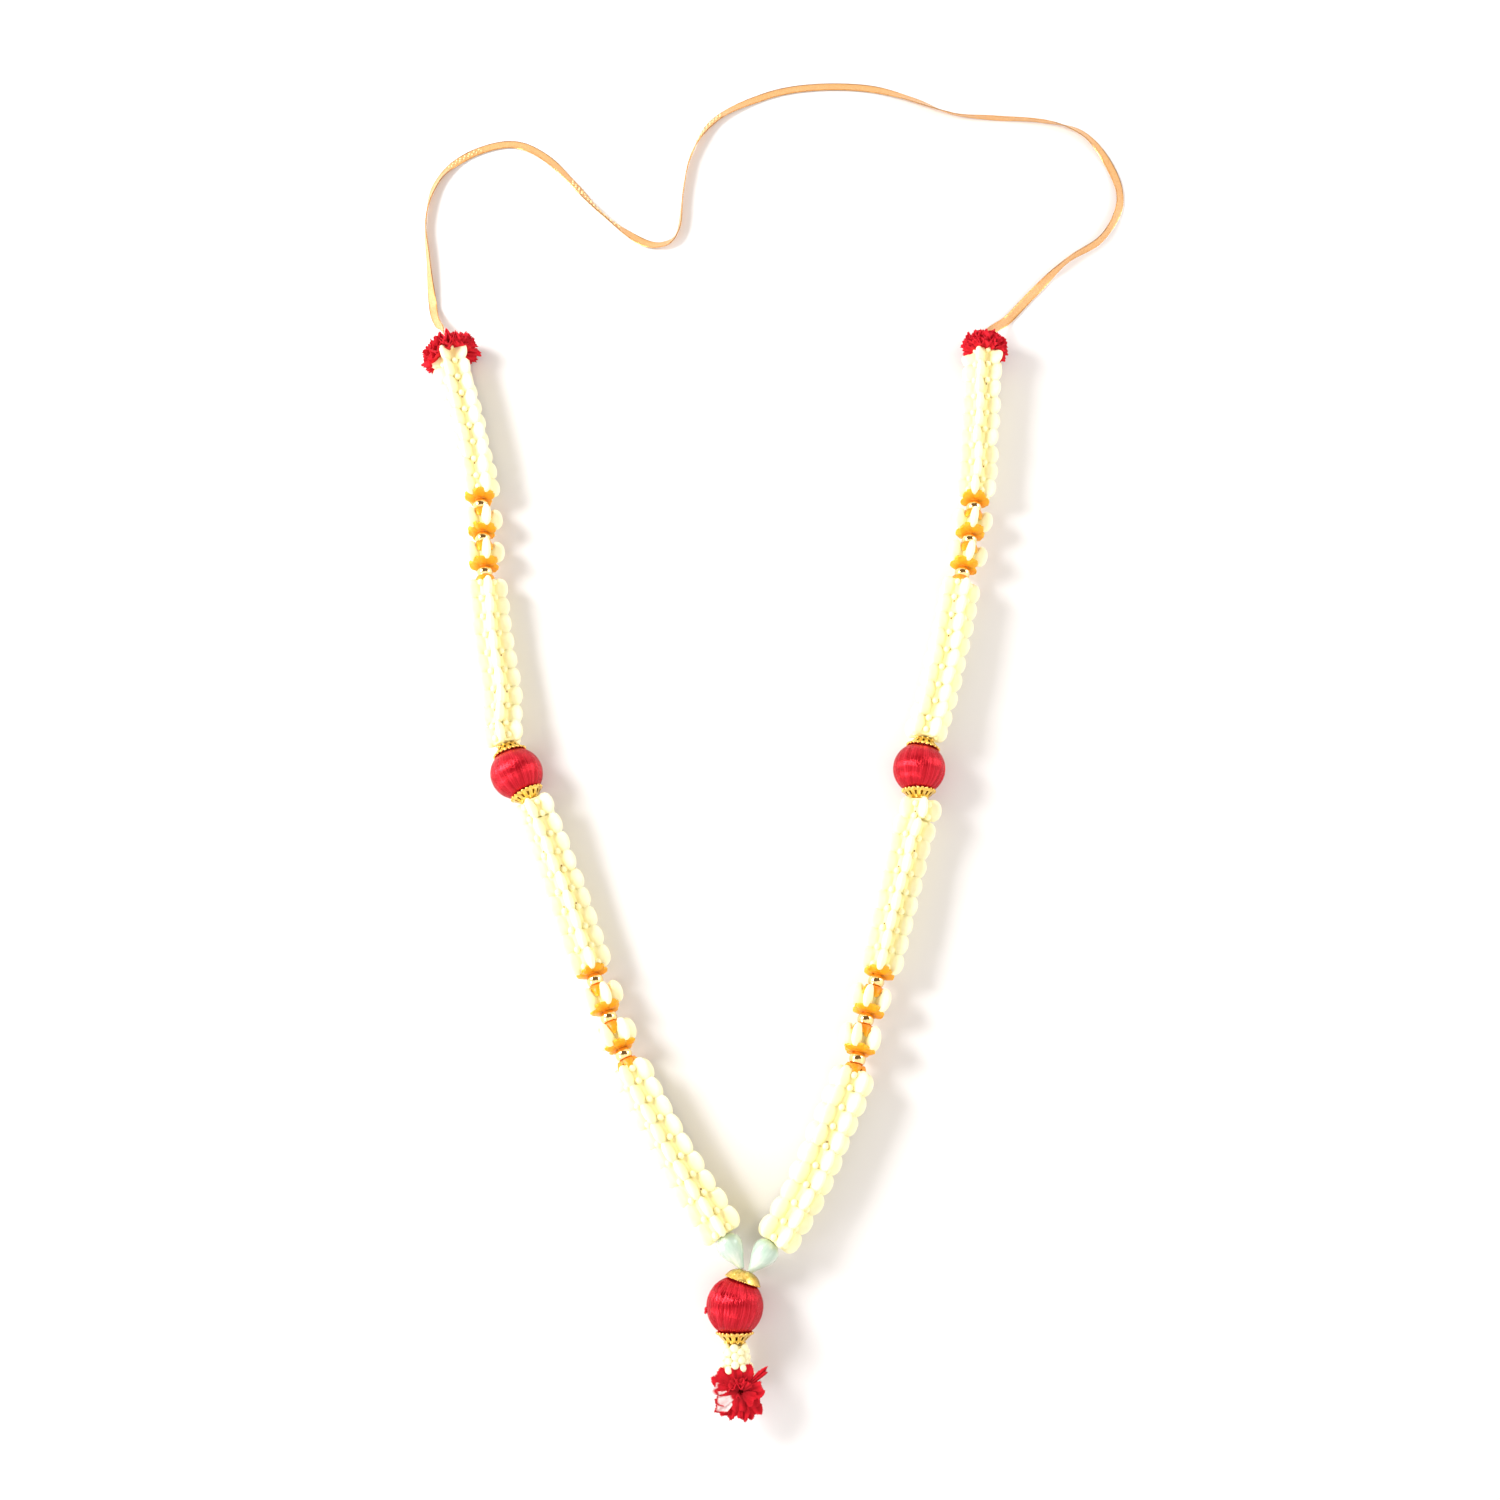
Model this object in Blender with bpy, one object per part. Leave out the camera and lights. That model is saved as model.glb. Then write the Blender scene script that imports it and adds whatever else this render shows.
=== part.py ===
"""A strung flower garland, laid out flat in an open V, with a ribbon that closes its loop.

Units are metres, +Z is up and +Y runs towards the ribbon. The origin lies on the surface
under the middle of the strung part. Two inner threads carry every piece: each runs down
one side of the garland, and both run on, side by side, through the pendant.
"""

import math
import random

import bmesh
import bpy
from mathutils import Vector

MM = 0.001
MIDDLE_X = -15.67 * MM
MIDDLE_Y = -29.96 * MM

# Driving dimensions of the strung pieces
GAP = 0.3 * MM
PIECES_IN_STRAND = 9
FINS = 5
FIN_REACH = 8.8 * MM
SINGLE_PITCH = 6.4 * MM
SINGLE_REACH = 7.8 * MM
THREAD_RADIUS = 0.35 * MM
THREAD_SIDES = 5
BORE = 0.75 * MM
WIDE_BORE = 1.3 * MM
THREAD_OFFSET = 0.45 * MM
BEAD_RADIUS = 3.15 * MM
CUP_FLOOR = 0.8 * MM
BALL_RADIUS = 10.2 * MM
CAP_HEIGHT = 3.9 * MM
CAP_END = 12.6 * MM
TEAR_LENGTH = 12.4 * MM
BUDS_LENGTH = 11.0 * MM
RIBBON_WIDTH = 4.0 * MM
RIBBON_THICKNESS = 0.6 * MM
RIBBON_LIFT = 0.05 * MM
RIBBON_POINTS = 62
RIBBON_STEPS = 8

# Heights of the stringing line above the surface
STRAND_HEIGHT = 8.5
BALL_HEIGHT = 9.9


def place(x, y, z):
    """A point given in millimetres from the middle of the layout, as a place in metres."""
    return Vector((x * MM - MIDDLE_X, y * MM - MIDDLE_Y, z * MM))


class Run:
    """A smooth stretch of the stringing line through a few chosen points."""

    def __init__(self, points, steps=24):
        self.line = [points[0].copy()]
        for i in range(len(points) - 1):
            before = points[i - 1] if i else points[0] * 2 - points[1]
            after = points[i + 2] if i + 2 < len(points) else points[i + 1] * 2 - points[i]
            for k in range(1, steps + 1):
                t = k / steps
                a = (points[i] - before) * (t - 2 * t**2 + t**3) * 0.5
                a += (points[i + 1] - points[i]) * ((t - 2 * t**2 + t**3) + (t**3 - t**2)) * 0.5
                a += (after - points[i + 1]) * (t**3 - t**2) * 0.5
                blend = 3 * t**2 - 2 * t**3
                self.line.append(points[i] * (1 - blend) + points[i + 1] * blend + a)
        self.marks = [0.0]
        for a, b in zip(self.line, self.line[1:]):
            self.marks.append(self.marks[-1] + (b - a).length)
        self.length = self.marks[-1]

    def middle(self, s):
        """The point at a distance s along the line, carried straight on past its ends."""
        last = len(self.line) - 1
        i = next((k for k in range(1, last) if self.marks[k] > s), last)
        share = (s - self.marks[i - 1]) / (self.marks[i] - self.marks[i - 1])
        return self.line[i - 1].lerp(self.line[i], share)

    def frame(self, s):
        """The point at s, the way the line runs there, its side and its upper side."""
        ahead = (self.middle(s + MM) - self.middle(s - MM)).normalized()
        side = ahead.cross(Vector((0, 0, 1))).normalized()
        return self.middle(s), ahead, side, side.cross(ahead)

    def at(self, s, radius, angle):
        """A point off the line at s, by a radius and an angle from its side."""
        middle, _, side, upper = self.frame(s)
        return middle + (side * math.cos(angle) + upper * math.sin(angle)) * radius

    def ring(self, s, radius, count, turn=0.0):
        """A round ring of points about the line."""
        step = 2 * math.pi / count
        return [self.at(s, radius, turn + k * step) for k in range(count)]


def join_rings(bm, first, second):
    """Faces between two rings, which may have different numbers of points."""
    n, m = len(first), len(second)
    if n == m:
        for k in range(n):
            j = (k + 1) % n
            bm.faces.new((first[k], first[j], second[j], second[k]))
        return
    i = j = 0
    while i < n or j < m:
        if j == m or (i < n and (2 * i + 1) * m <= (2 * j + 1) * n):
            bm.faces.new((first[i % n], first[(i + 1) % n], second[j % m]))
            i += 1
        else:
            bm.faces.new((first[i % n], second[(j + 1) % m], second[j % m]))
            j += 1


def keep(name, bm, material, smooth=35):
    """Closes a mesh up as one object with its material, resting no lower than the surface."""
    for v in bm.verts:
        v.co.z = max(v.co.z, 0.0)
    bmesh.ops.recalc_face_normals(bm, faces=bm.faces)
    mesh = bpy.data.meshes.new(name)
    bm.to_mesh(mesh)
    bm.free()
    mesh.shade_smooth()
    mesh.set_sharp_from_angle(angle=math.radians(smooth))
    mesh.materials.append(material)
    thing = bpy.data.objects.new(name, mesh)
    bpy.context.scene.collection.objects.link(thing)
    return thing


def wrapped(rings):
    """A closed body from rings that run round its wall: out along it and back up its bore."""
    bm = bmesh.new()
    made = [[bm.verts.new(p) for p in ring] for ring in rings]
    for first, second in zip(made, made[1:] + made[:1]):
        join_rings(bm, first, second)
    return bm


def capped(rings):
    """A closed body from rings along it, with a flat end on the first and the last."""
    bm = bmesh.new()
    made = [[bm.verts.new(p) for p in ring] for ring in rings]
    for first, second in zip(made, made[1:]):
        join_rings(bm, first, second)
    bm.faces.new(made[0])
    bm.faces.new(made[-1])
    return bm


def finish(name, colour, roughness, metallic=0.0):
    """A plain material with the colour and gloss of one kind of piece."""
    material = bpy.data.materials.new(name)
    material.use_nodes = True
    shader = material.node_tree.nodes["Principled BSDF"]
    shader.inputs["Base Color"].default_value = (*colour, 1.0)
    shader.inputs["Roughness"].default_value = roughness
    shader.inputs["Metallic"].default_value = metallic
    return material


# Crown flower pieces: a column with five fat round fins, strung nose to tail
# Each ring: share of the piece's length, fin reach, half the fin's thickness, valley radius
COLUMN = 2.4 * MM
SHOULDER_RING = (0.13, 4.8 * MM, 0.5 * MM, 2.7 * MM)
BODY_RING = (0.29, FIN_REACH, 1.5 * MM, 3.0 * MM)
WAIST_RING = (0.0, 6.3 * MM, 0.8 * MM, 3.4 * MM)
TURN_JITTER = math.radians(5)


def fin_ring(run, s, turn, reach, half_thickness, valley):
    """One section through a piece: a five-armed star with blunt arms."""
    points = []
    for k in range(FINS):
        arm = turn + k * 2 * math.pi / FINS
        spread = math.asin(half_thickness / reach)
        points.append(run.at(s, valley, arm - math.pi / FINS))
        points.append(run.at(s, reach, arm - spread))
        points.append(run.at(s, reach, arm + spread))
    return points


def fin_stack(run, start, turns, pitch, reach):
    """The rings of a stack of pieces, one for each turn angle, and where its bore bends."""
    end = start + pitch * len(turns)
    shoulder = SHOULDER_RING[0] * pitch
    body = BODY_RING[0] * pitch
    rings = [run.ring(start, COLUMN, FINS, turns[0] - math.pi / FINS)]
    rings.append(fin_ring(run, start + shoulder, turns[0], *SHOULDER_RING[1:]))
    for k, turn in enumerate(turns):
        near = start + k * pitch
        if k:
            rings.append(fin_ring(run, near, (turn + turns[k - 1]) / 2, *WAIST_RING[1:]))
        rings.append(fin_ring(run, near + body, turn, reach, *BODY_RING[2:]))
        rings.append(fin_ring(run, near + pitch - body, turn, reach, *BODY_RING[2:]))
    rings.append(fin_ring(run, end - shoulder, turns[-1], *SHOULDER_RING[1:]))
    rings.append(run.ring(end, COLUMN, FINS, turns[-1] - math.pi / FINS))
    stops = [start + k * pitch for k in range(0, len(turns) + 1, min(3, len(turns)))]
    for s in reversed(stops):
        rings.append(run.ring(s, BORE, FINS, turns[0] - math.pi / FINS))
    return rings, stops


# Orange cups: a five-petalled cup either side of each gold bead, joined through its bore
CUP_BASE = 2.3 * MM
CUP_NOTCH = 3.2 * MM
CUP_TIP = 5.7 * MM
CUP_DEPTH = 2.5 * MM
CUP_WALL = 0.6 * MM
NECK_RADIUS = 1.05 * MM


def cup_ring(run, s, turn, notch, tip, facing, notch_depth, tip_depth):
    """A ring that alternates between the notches, which face the fins, and the petal tips."""
    points = []
    for k in range(FINS):
        arm = turn + k * 2 * math.pi / FINS
        points.append(run.at(s - facing * tip_depth, tip, arm - math.pi / FINS))
        points.append(run.at(s - facing * notch_depth, notch, arm))
    return points


def cup_rings(run, floor, facing, turn):
    """One cup from its bore, over its petals' rim and back to its neck."""
    half = turn - math.pi / FINS
    back = floor + facing * CUP_FLOOR
    return [
        run.ring(floor, BORE, FINS, half),
        run.ring(floor, CUP_BASE + CUP_WALL, FINS, half),
        cup_ring(run, floor, turn, CUP_NOTCH, CUP_TIP, facing, 0, CUP_DEPTH),
        cup_ring(run, floor, turn, CUP_NOTCH, CUP_TIP + CUP_WALL, facing, -CUP_WALL, CUP_DEPTH - CUP_WALL),
        run.ring(back, CUP_BASE, FINS, half),
        run.ring(back, NECK_RADIUS, FINS, half),
    ]


def bead_rings(run, centre):
    """A round bead with a wide bore that the cups' neck passes through."""
    rings = []
    first = math.asin(WIDE_BORE / BEAD_RADIUS)
    for k in range(BEAD_BANDS + 1):
        polar = first + (math.pi - 2 * first) * k / BEAD_BANDS
        out = BEAD_RADIUS * math.sin(polar)
        rings.append(run.ring(centre - BEAD_RADIUS * math.cos(polar), out, BEAD_SIDES))
    return rings


BEAD_SIDES = 9
BEAD_BANDS = 4
BEAD_HALF = math.sqrt(BEAD_RADIUS**2 - WIDE_BORE**2)
UNIT_LENGTH = 2 * (2 * GAP + CUP_FLOOR + BEAD_HALF)


def string_unit(run, start, near_turn, far_turn, name, finishes):
    """One gold bead with its pair of cups, between two crown flower pieces."""
    far_floor = start + UNIT_LENGTH - GAP
    near = cup_rings(run, start + GAP, 1, near_turn)
    far = cup_rings(run, far_floor, -1, far_turn)
    keep("cups_" + name, wrapped(near + far[::-1]), finishes["orange"])
    keep("bead_" + name, wrapped(bead_rings(run, start + UNIT_LENGTH / 2)), finishes["bead"])
    return start + UNIT_LENGTH


def string_section(run, start, turns, name, finishes):
    """Three beads with their cups, and the two single pieces between them."""
    stops = []
    for k in range(3):
        start = string_unit(run, start, turns[k], turns[k + 1], f"{name}_{k + 1}", finishes)
        if k < 2:
            rings, inner = fin_stack(run, start, [turns[k + 1]], SINGLE_PITCH, SINGLE_REACH)
            keep(f"single_{name}_{k + 1}", wrapped(rings), finishes["cream"])
            stops += inner
            start += SINGLE_PITCH
    return start, stops


def string_strand(run, start, turns, pitch, name, finishes):
    """A strand of pieces fused nose to tail."""
    rings, stops = fin_stack(run, start, turns, pitch, FIN_REACH)
    keep("strand_" + name, wrapped(rings), finishes["cream"])
    return start + pitch * len(turns), stops


def turn_list(count, first, twist, seed):
    """How far each piece of a strand is turned, with a slow twist and a little play."""
    draw = random.Random(seed)
    return [first + twist * k + draw.uniform(-TURN_JITTER, TURN_JITTER) for k in range(count)]


def string_run(run, side, numbers, section, pitch, first_turn, twist, seed, finishes):
    """Strand, bead section and strand along one run, from the ball outwards."""
    near = turn_list(PIECES_IN_STRAND, math.radians(first_turn), math.radians(twist), seed)
    middle = turn_list(4, near[-1], math.radians(4 * twist), seed + 1)
    far = turn_list(PIECES_IN_STRAND, middle[-1], math.radians(twist), seed + 2)
    s, stops = string_strand(run, GAP, near, pitch, f"{side}_{numbers[0]}", finishes)
    turns = [near[-1], *middle[1:3], far[0]]
    s, more = string_section(run, s, turns, f"{side}_{section}", finishes)
    s, last = string_strand(run, s, far, pitch, f"{side}_{numbers[1]}", finishes)
    return s, stops + more + last


# Silk balls with a gold cap on each pole
BALL_SIDES = 14
BALL_BANDS = 8
CAP_TEETH = 10
CAP_RIM = 6.5 * MM
CAP_TOOTH = 0.5 * MM
CAP_NECK = 3.3 * MM
CAP_SCALLOP = 0.5 * MM
CAP_MOUTH = 2.1 * MM


def tooth_ring(run, s, radius, depth, count):
    """A ring with teeth round it."""
    points = []
    for k in range(2 * count):
        points.append(run.at(s, radius - depth * (k % 2), k * math.pi / count))
    return points


def cap_shell(name, run, finishes):
    """A filigree cap: a scalloped neck, a flared wall and a toothed rim, hollow over the ball."""
    clear = BALL_RADIUS + GAP
    lip = CAP_RIM - CAP_TOOTH
    rim = CAP_END - math.sqrt(clear**2 - lip**2)
    crown = CAP_END - math.sqrt(clear**2 - CAP_NECK**2)
    top = CAP_END - math.sqrt(clear**2 - WIDE_BORE**2)
    rings = [
        run.ring(0, CAP_MOUTH, CAP_TEETH // 2),
        tooth_ring(run, 0, CAP_NECK, CAP_SCALLOP, CAP_TEETH // 2),
        run.ring(0.3 * CAP_HEIGHT, CAP_NECK, CAP_TEETH),
        tooth_ring(run, rim - 2 * GAP, CAP_RIM, CAP_TOOTH, CAP_TEETH),
        tooth_ring(run, rim - GAP / 2, lip, 0, CAP_TEETH),
        run.ring(crown - GAP / 2, CAP_NECK, CAP_TEETH),
        run.ring(top, WIDE_BORE, CAP_TEETH // 2),
    ]
    keep(name, wrapped(rings), finishes["cap"])


def silk_ball(name, centre, top_way, bottom_way, finishes):
    """A ball bored from pole to pole, where its two caps sit, with a small flat underneath."""
    top = centre + top_way * BALL_RADIUS
    bottom = centre + bottom_way * BALL_RADIUS
    axis = (bottom - top).normalized()
    body = Run([centre - axis * BALL_RADIUS, centre + axis * BALL_RADIUS])
    bore = Run([top, bottom])
    first = math.asin(3.2 * MM / BALL_RADIUS)
    rings = []
    for k in range(BALL_BANDS + 1):
        polar = first + (math.pi - 2 * first) * k / BALL_BANDS
        along = BALL_RADIUS * (1 - math.cos(polar))
        rings.append(body.ring(along, BALL_RADIUS * math.sin(polar), BALL_SIDES))
    inset = (bore.length - 2 * BALL_RADIUS * math.cos(first)) / 2
    rings.append(bore.ring(bore.length - inset, WIDE_BORE, BALL_SIDES // 2))
    rings.append(bore.ring(inset, WIDE_BORE, BALL_SIDES // 2))
    bm = wrapped(rings)
    everything = bm.verts[:] + bm.edges[:] + bm.faces[:]
    cut = bmesh.ops.bisect_plane(bm, geom=everything, plane_co=(0, 0, 0), plane_no=(0, 0, -1), clear_outer=True)
    edges = [e for e in cut["geom_cut"] if isinstance(e, bmesh.types.BMEdge)]
    bmesh.ops.contextual_create(bm, geom=edges)
    keep(name, bm, finishes["silk"])
    cap_shell(name + "_cap_top", Run([centre + top_way * CAP_END, centre]), finishes)
    cap_shell(name + "_cap_bottom", Run([centre + bottom_way * CAP_END, centre]), finishes)


# Mint teardrops and the cluster of buds in the pendant
TEAR_SHAPE = [(0.0, 1.5), (0.05, 3.0), (0.2, 4.4), (0.42, 4.2), (0.68, 2.7), (0.9, 1.4), (1.0, 1.0)]
BUD_ROWS = 8
BUDS_ROUND = 6


def teardrop(name, run, start, finishes):
    """A pearly drop, thick at the strand and thin at the pendant."""
    rings = [run.ring(start + TEAR_LENGTH * share, radius * MM, 10) for share, radius in TEAR_SHAPE]
    rings.append(run.ring(start + TEAR_LENGTH, BORE, 5))
    rings.append(run.ring(start, BORE, 5))
    keep(name, wrapped(rings), finishes["mint"])
    return [start, start + TEAR_LENGTH]


def bud_cluster(name, run, start, finishes):
    """Rows of round buds, staggered, on a core that widens downwards."""
    rings = [run.ring(start, 2.6 * MM, 2 * BUDS_ROUND)]
    for row in range(BUD_ROWS):
        share = (row + 0.5) / BUD_ROWS
        core = (3.5 + 1.7 * share) * MM
        points = []
        for k in range(2 * BUDS_ROUND):
            proud = 1.0 * MM if (k + row) % 2 else 0.0
            points.append(run.at(start + share * BUDS_LENGTH, core + proud, k * math.pi / BUDS_ROUND))
        rings.append(points)
    rings.append(run.ring(start + BUDS_LENGTH, 3.2 * MM, 2 * BUDS_ROUND))
    rings.append(run.ring(start + BUDS_LENGTH, WIDE_BORE, BUDS_ROUND))
    rings.append(run.ring(start, WIDE_BORE, BUDS_ROUND))
    keep(name, wrapped(rings), finishes["cream"])
    return [start, start + BUDS_LENGTH]


# Red carnations: toothed petals in layers round a core that the thread is knotted in
PETAL_THICKNESS = 0.6 * MM
PETAL_ROOT = 1.3 * MM
PETAL_COLUMNS = (-1.0, -0.34, 0.34, 1.0)
PETAL_TEETH = 0.09
PETAL_WAVE = 0.07
PETAL_LIFT = 0.9 * MM
ROOT_DEPTH = 2.2 * MM
FLOOR_NARROWING = 0.3
FLOOR_SLACK = 0.12
FLATTENING = 0.15
CORE_SHAPE = [(0.0, 0.6), (0.3, 1.0), (0.75, 0.85), (1.0, 0.5)]
CORE_SIDES = 10


def petal(root, way, across, length, width, draw):
    """A fan-shaped blade with a toothed, waved end, the same triangles on both faces."""
    normal = way.cross(across)
    bm = bmesh.new()
    faces = ([], [])
    for near in (True, False):
        for column, u in enumerate(PETAL_COLUMNS):
            out = 1 if column % 2 else -1
            middle = root + across * PETAL_ROOT * u
            if not near:
                reach = length * (1 + PETAL_TEETH * out * draw.uniform(0.6, 1.2))
                middle = root + way * reach + across * u * width / 2
                middle -= normal * PETAL_WAVE * width * out
            for side, face in zip((0.5, -0.5), faces):
                face.append(bm.verts.new(middle + normal * PETAL_THICKNESS * side))
    wide = len(PETAL_COLUMNS)
    for face in faces:
        for a in range(wide - 1):
            bm.faces.new((face[a], face[a + 1], face[a + wide]))
            bm.faces.new((face[a + 1], face[a + wide + 1], face[a + wide]))
    rim = list(range(wide)) + list(range(2 * wide - 1, wide - 1, -1))
    for a, b in zip(rim, rim[1:] + rim[:1]):
        bm.faces.new((faces[0][a], faces[0][b], faces[1][b], faces[1][a]))
    bmesh.ops.recalc_face_normals(bm, faces=bm.faces)
    return bm


def carnation(name, run, radius, layers, seed, finishes):
    """A bloom on its core: one layer of petals after another, joined in one body."""
    draw = random.Random(seed)
    shape = [run.ring(run.length * share, radius * out, CORE_SIDES) for share, out in CORE_SHAPE]
    bore = [run.ring(s, WIDE_BORE, CORE_SIDES // 2) for s in (run.length, 0)]
    bloom = keep(name, wrapped(shape + bore), finishes["carnation"], smooth=20)
    blades = bpy.data.collections.new(name + "_petals")
    bpy.context.scene.collection.children.link(blades)
    for height, spread, count, length, width, first in layers:
        for k in range(count):
            angle = math.radians(first) + 2 * math.pi * (k + draw.uniform(-0.15, 0.15)) / count
            lean = math.radians(spread + draw.uniform(-4, 4))
            middle, axis, _, _ = run.frame(height * run.length)
            root = run.at(height * run.length, ROOT_DEPTH, angle)
            outward = (root - middle).normalized()
            way = axis * math.cos(lean) + outward * math.sin(lean)
            across = axis.cross(outward)
            long = length * MM * draw.uniform(0.9, 1.06) * (1 - FLATTENING * abs(way.z))
            broad = width * MM
            if way.z < 0:
                broad *= 1 + way.z * FLOOR_NARROWING
                room = root.z - PETAL_LIFT - abs(across.z) * broad / 2
                long = min(long, room / (FLOOR_SLACK - way.z))
            bm = petal(root, way, across, long, broad, draw)
            mesh = bpy.data.meshes.new(name)
            bm.to_mesh(mesh)
            bm.free()
            blades.objects.link(bpy.data.objects.new(f"{name}_petal", mesh))
    fuse = bloom.modifiers.new("petals", "BOOLEAN")
    fuse.operation = "UNION"
    fuse.operand_type = "COLLECTION"
    fuse.collection = blades
    fuse.solver = "EXACT"
    bpy.context.view_layer.update()
    evaluated = bloom.evaluated_get(bpy.context.evaluated_depsgraph_get())
    joined = bpy.data.meshes.new_from_object(evaluated)
    bloom.modifiers.remove(fuse)
    bloom.data = joined
    for blade in list(blades.objects):
        bpy.data.objects.remove(blade)
    bpy.data.collections.remove(blades)


def thread(name, points, finishes):
    """The inner thread, through the bore of every piece on its side and on down the pendant."""
    rings = []
    for i, point in enumerate(points):
        before = points[max(i - 1, 0)]
        after = points[min(i + 1, len(points) - 1)]
        ahead = (after - before).normalized()
        side = ahead.cross(Vector((0, 0, 1))).normalized()
        upper = side.cross(ahead)
        ring = []
        for k in range(THREAD_SIDES):
            angle = k * 2 * math.pi / THREAD_SIDES
            ring.append(point + (side * math.cos(angle) + upper * math.sin(angle)) * THREAD_RADIUS)
        rings.append(ring)
    keep(name, capped(rings), finishes["thread"])


def ribbon(name, route, finishes):
    """The free ribbon: a flat strap along its route, turned flat or on edge as it lies."""
    run = Run([place(x, y, 0) for x, y, _, _ in route], RIBBON_STEPS)
    curve = bpy.data.curves.new(name, "CURVE")
    curve.dimensions = "3D"
    curve.twist_mode = "Z_UP"
    curve.fill_mode = "FULL"
    curve.extrude = (RIBBON_WIDTH - RIBBON_THICKNESS) / 2
    curve.bevel_depth = RIBBON_THICKNESS / 2
    curve.bevel_resolution = 0
    curve.use_fill_caps = True
    spline = curve.splines.new("POLY")
    spline.points.add(RIBBON_POINTS - 1)
    for k, point in enumerate(spline.points):
        s = run.length * k / (RIBBON_POINTS - 1)
        mark = next((i for i, reached in enumerate(run.marks) if reached > s), len(run.marks) - 1)
        i = min(mark // RIBBON_STEPS, len(route) - 2)
        share = mark / RIBBON_STEPS - i
        lean = math.radians(route[i][2] * (1 - share) + route[i + 1][2] * share)
        lift = (route[i][3] * (1 - share) + route[i + 1][3] * share) * MM
        rise = curve.extrude * abs(math.cos(lean)) + curve.bevel_depth + RIBBON_LIFT
        x, y, _ = run.middle(s)
        point.co = (x, y, rise + lift, 1.0)
        point.tilt = lean
    curve.materials.append(finishes["ribbon"])
    strap = bpy.data.objects.new(name, curve)
    bpy.context.scene.collection.objects.link(strap)


# The balls, from the layout of the garland: centre, and the way to each cap
LEFT_BALL = place(-91.4, -12.4, BALL_HEIGHT)
RIGHT_BALL = place(66.3, -10.5, BALL_HEIGHT)
PENDANT_BALL = place(-5.4, -209.2, BALL_HEIGHT)


def heading(degrees):
    """A level direction, turned from +Y towards +X."""
    return Vector((math.sin(math.radians(degrees)), math.cos(math.radians(degrees)), 0))


PENDANT_TILT = heading(18)

# Each run of strung pieces, from its ball outwards: side, half, its strands, its bead
# section, the pitch of its pieces, the first turn and twist, and points along its line
RUNS = [
    (
        "left", "upper", ("2", "1"), "a", 7.8, 18, -2.0,
        [(-99.0, 20), (-104.0, 45), (-107.6, 69), (-109.6, 88), (-112.6, 112), (-119.5, 142),
         (-128.0, 173), (-131.5, 186)],
    ),
    (
        "left", "lower", ("3", "4"), "b", 7.8, 6, 3.0,
        [(-77.0, -43), (-68.5, -66), (-60.5, -88), (-53.0, -107), (-45.0, -125), (-33.5, -146),
         (-20.0, -169), (-9.5, -185), (-2.9, -196.2)],
    ),
    (
        "right", "upper", ("2", "1"), "a", 7.6, 54, 2.0,
        [(73.5, 17), (79.8, 42), (85.2, 67), (89.6, 85), (93.2, 108), (96.4, 140), (99.6, 172),
         (101.0, 186)],
    ),
    (
        "right", "lower", ("3", "4"), "b", 7.6, 30, -2.5,
        [(61.6, -40), (55.8, -64), (49.6, -87), (43.4, -108), (38.2, -129), (30.0, -148),
         (20.6, -168), (9.4, -186), (0.2, -197.2)],
    ),
]

# Each carnation: its core's length and radius, then its layers of petals, each with its
# place on the core, spread, count, length, width and the first petal's angle
BLOOMS = [
    (
        "left", 6.5, 5.6,
        [(0.35, 116, 7, 12.0, 9.0, 0), (0.6, 92, 5, 11.6, 8.5, 25), (0.85, 60, 5, 8.6, 7.0, 54)],
    ),
    (
        "right", 5.0, 5.0,
        [(0.35, 112, 6, 8.4, 7.5, 0), (0.6, 84, 5, 8.2, 7.0, 25), (0.85, 48, 4, 7.2, 6.0, 0)],
    ),
    (
        "pendant", 5.5, 4.0,
        [(0.3, 100, 5, 7.4, 6.6, 20), (0.6, 68, 5, 8.2, 7.0, 60), (0.85, 28, 3, 9.4, 6.0, 30)],
    ),
]

# The ribbon's route: points along it, how far it leans over from standing on edge, and how
# far it is lifted off the surface, which is only where it rises into the two carnations
RIBBON_ROUTE = [
    (-130.6, 182.7, 0, 6.4), (-131.9, 186.0, 20, 5.8), (-134.9, 190.6, 50, 2.8), (-137.8, 200, 70, 0),
    (-141.0, 223, 30, 0), (-143.2, 243, 10, 0), (-139.5, 263, 50, 0), (-127.0, 277, 85, 0),
    (-108.0, 283.4, 85, 0), (-92.7, 277, 80, 0), (-78.6, 262, 60, 0), (-64.5, 245.3, 30, 0),
    (-48.0, 233.2, 80, 0), (-38.0, 231.4, 60, 0), (-31.6, 238, 20, 0), (-29.6, 258, 5, 0),
    (-26.1, 277, 10, 0), (-15.5, 296, 60, 0), (6.6, 308.8, 85, 0), (28.3, 313.7, 85, 0),
    (53.8, 313.1, 85, 0), (73.9, 306.6, 60, 0), (91.4, 298.6, 30, 0), (110.4, 296.2, 10, 0),
    (131.8, 294.6, 20, 0), (150.0, 288.6, 60, 0), (161.5, 271, 85, 0), (164.2, 252, 60, 0),
    (155.0, 234, 30, 0), (139.5, 223, 10, 0), (124.9, 208.3, 60, 0), (112.4, 194.4, 70, 0),
    (106.4, 188.4, 50, 2.8), (102.0, 184.3, 20, 5.6), (100.4, 180.3, 0, 6.4),
]


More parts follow.
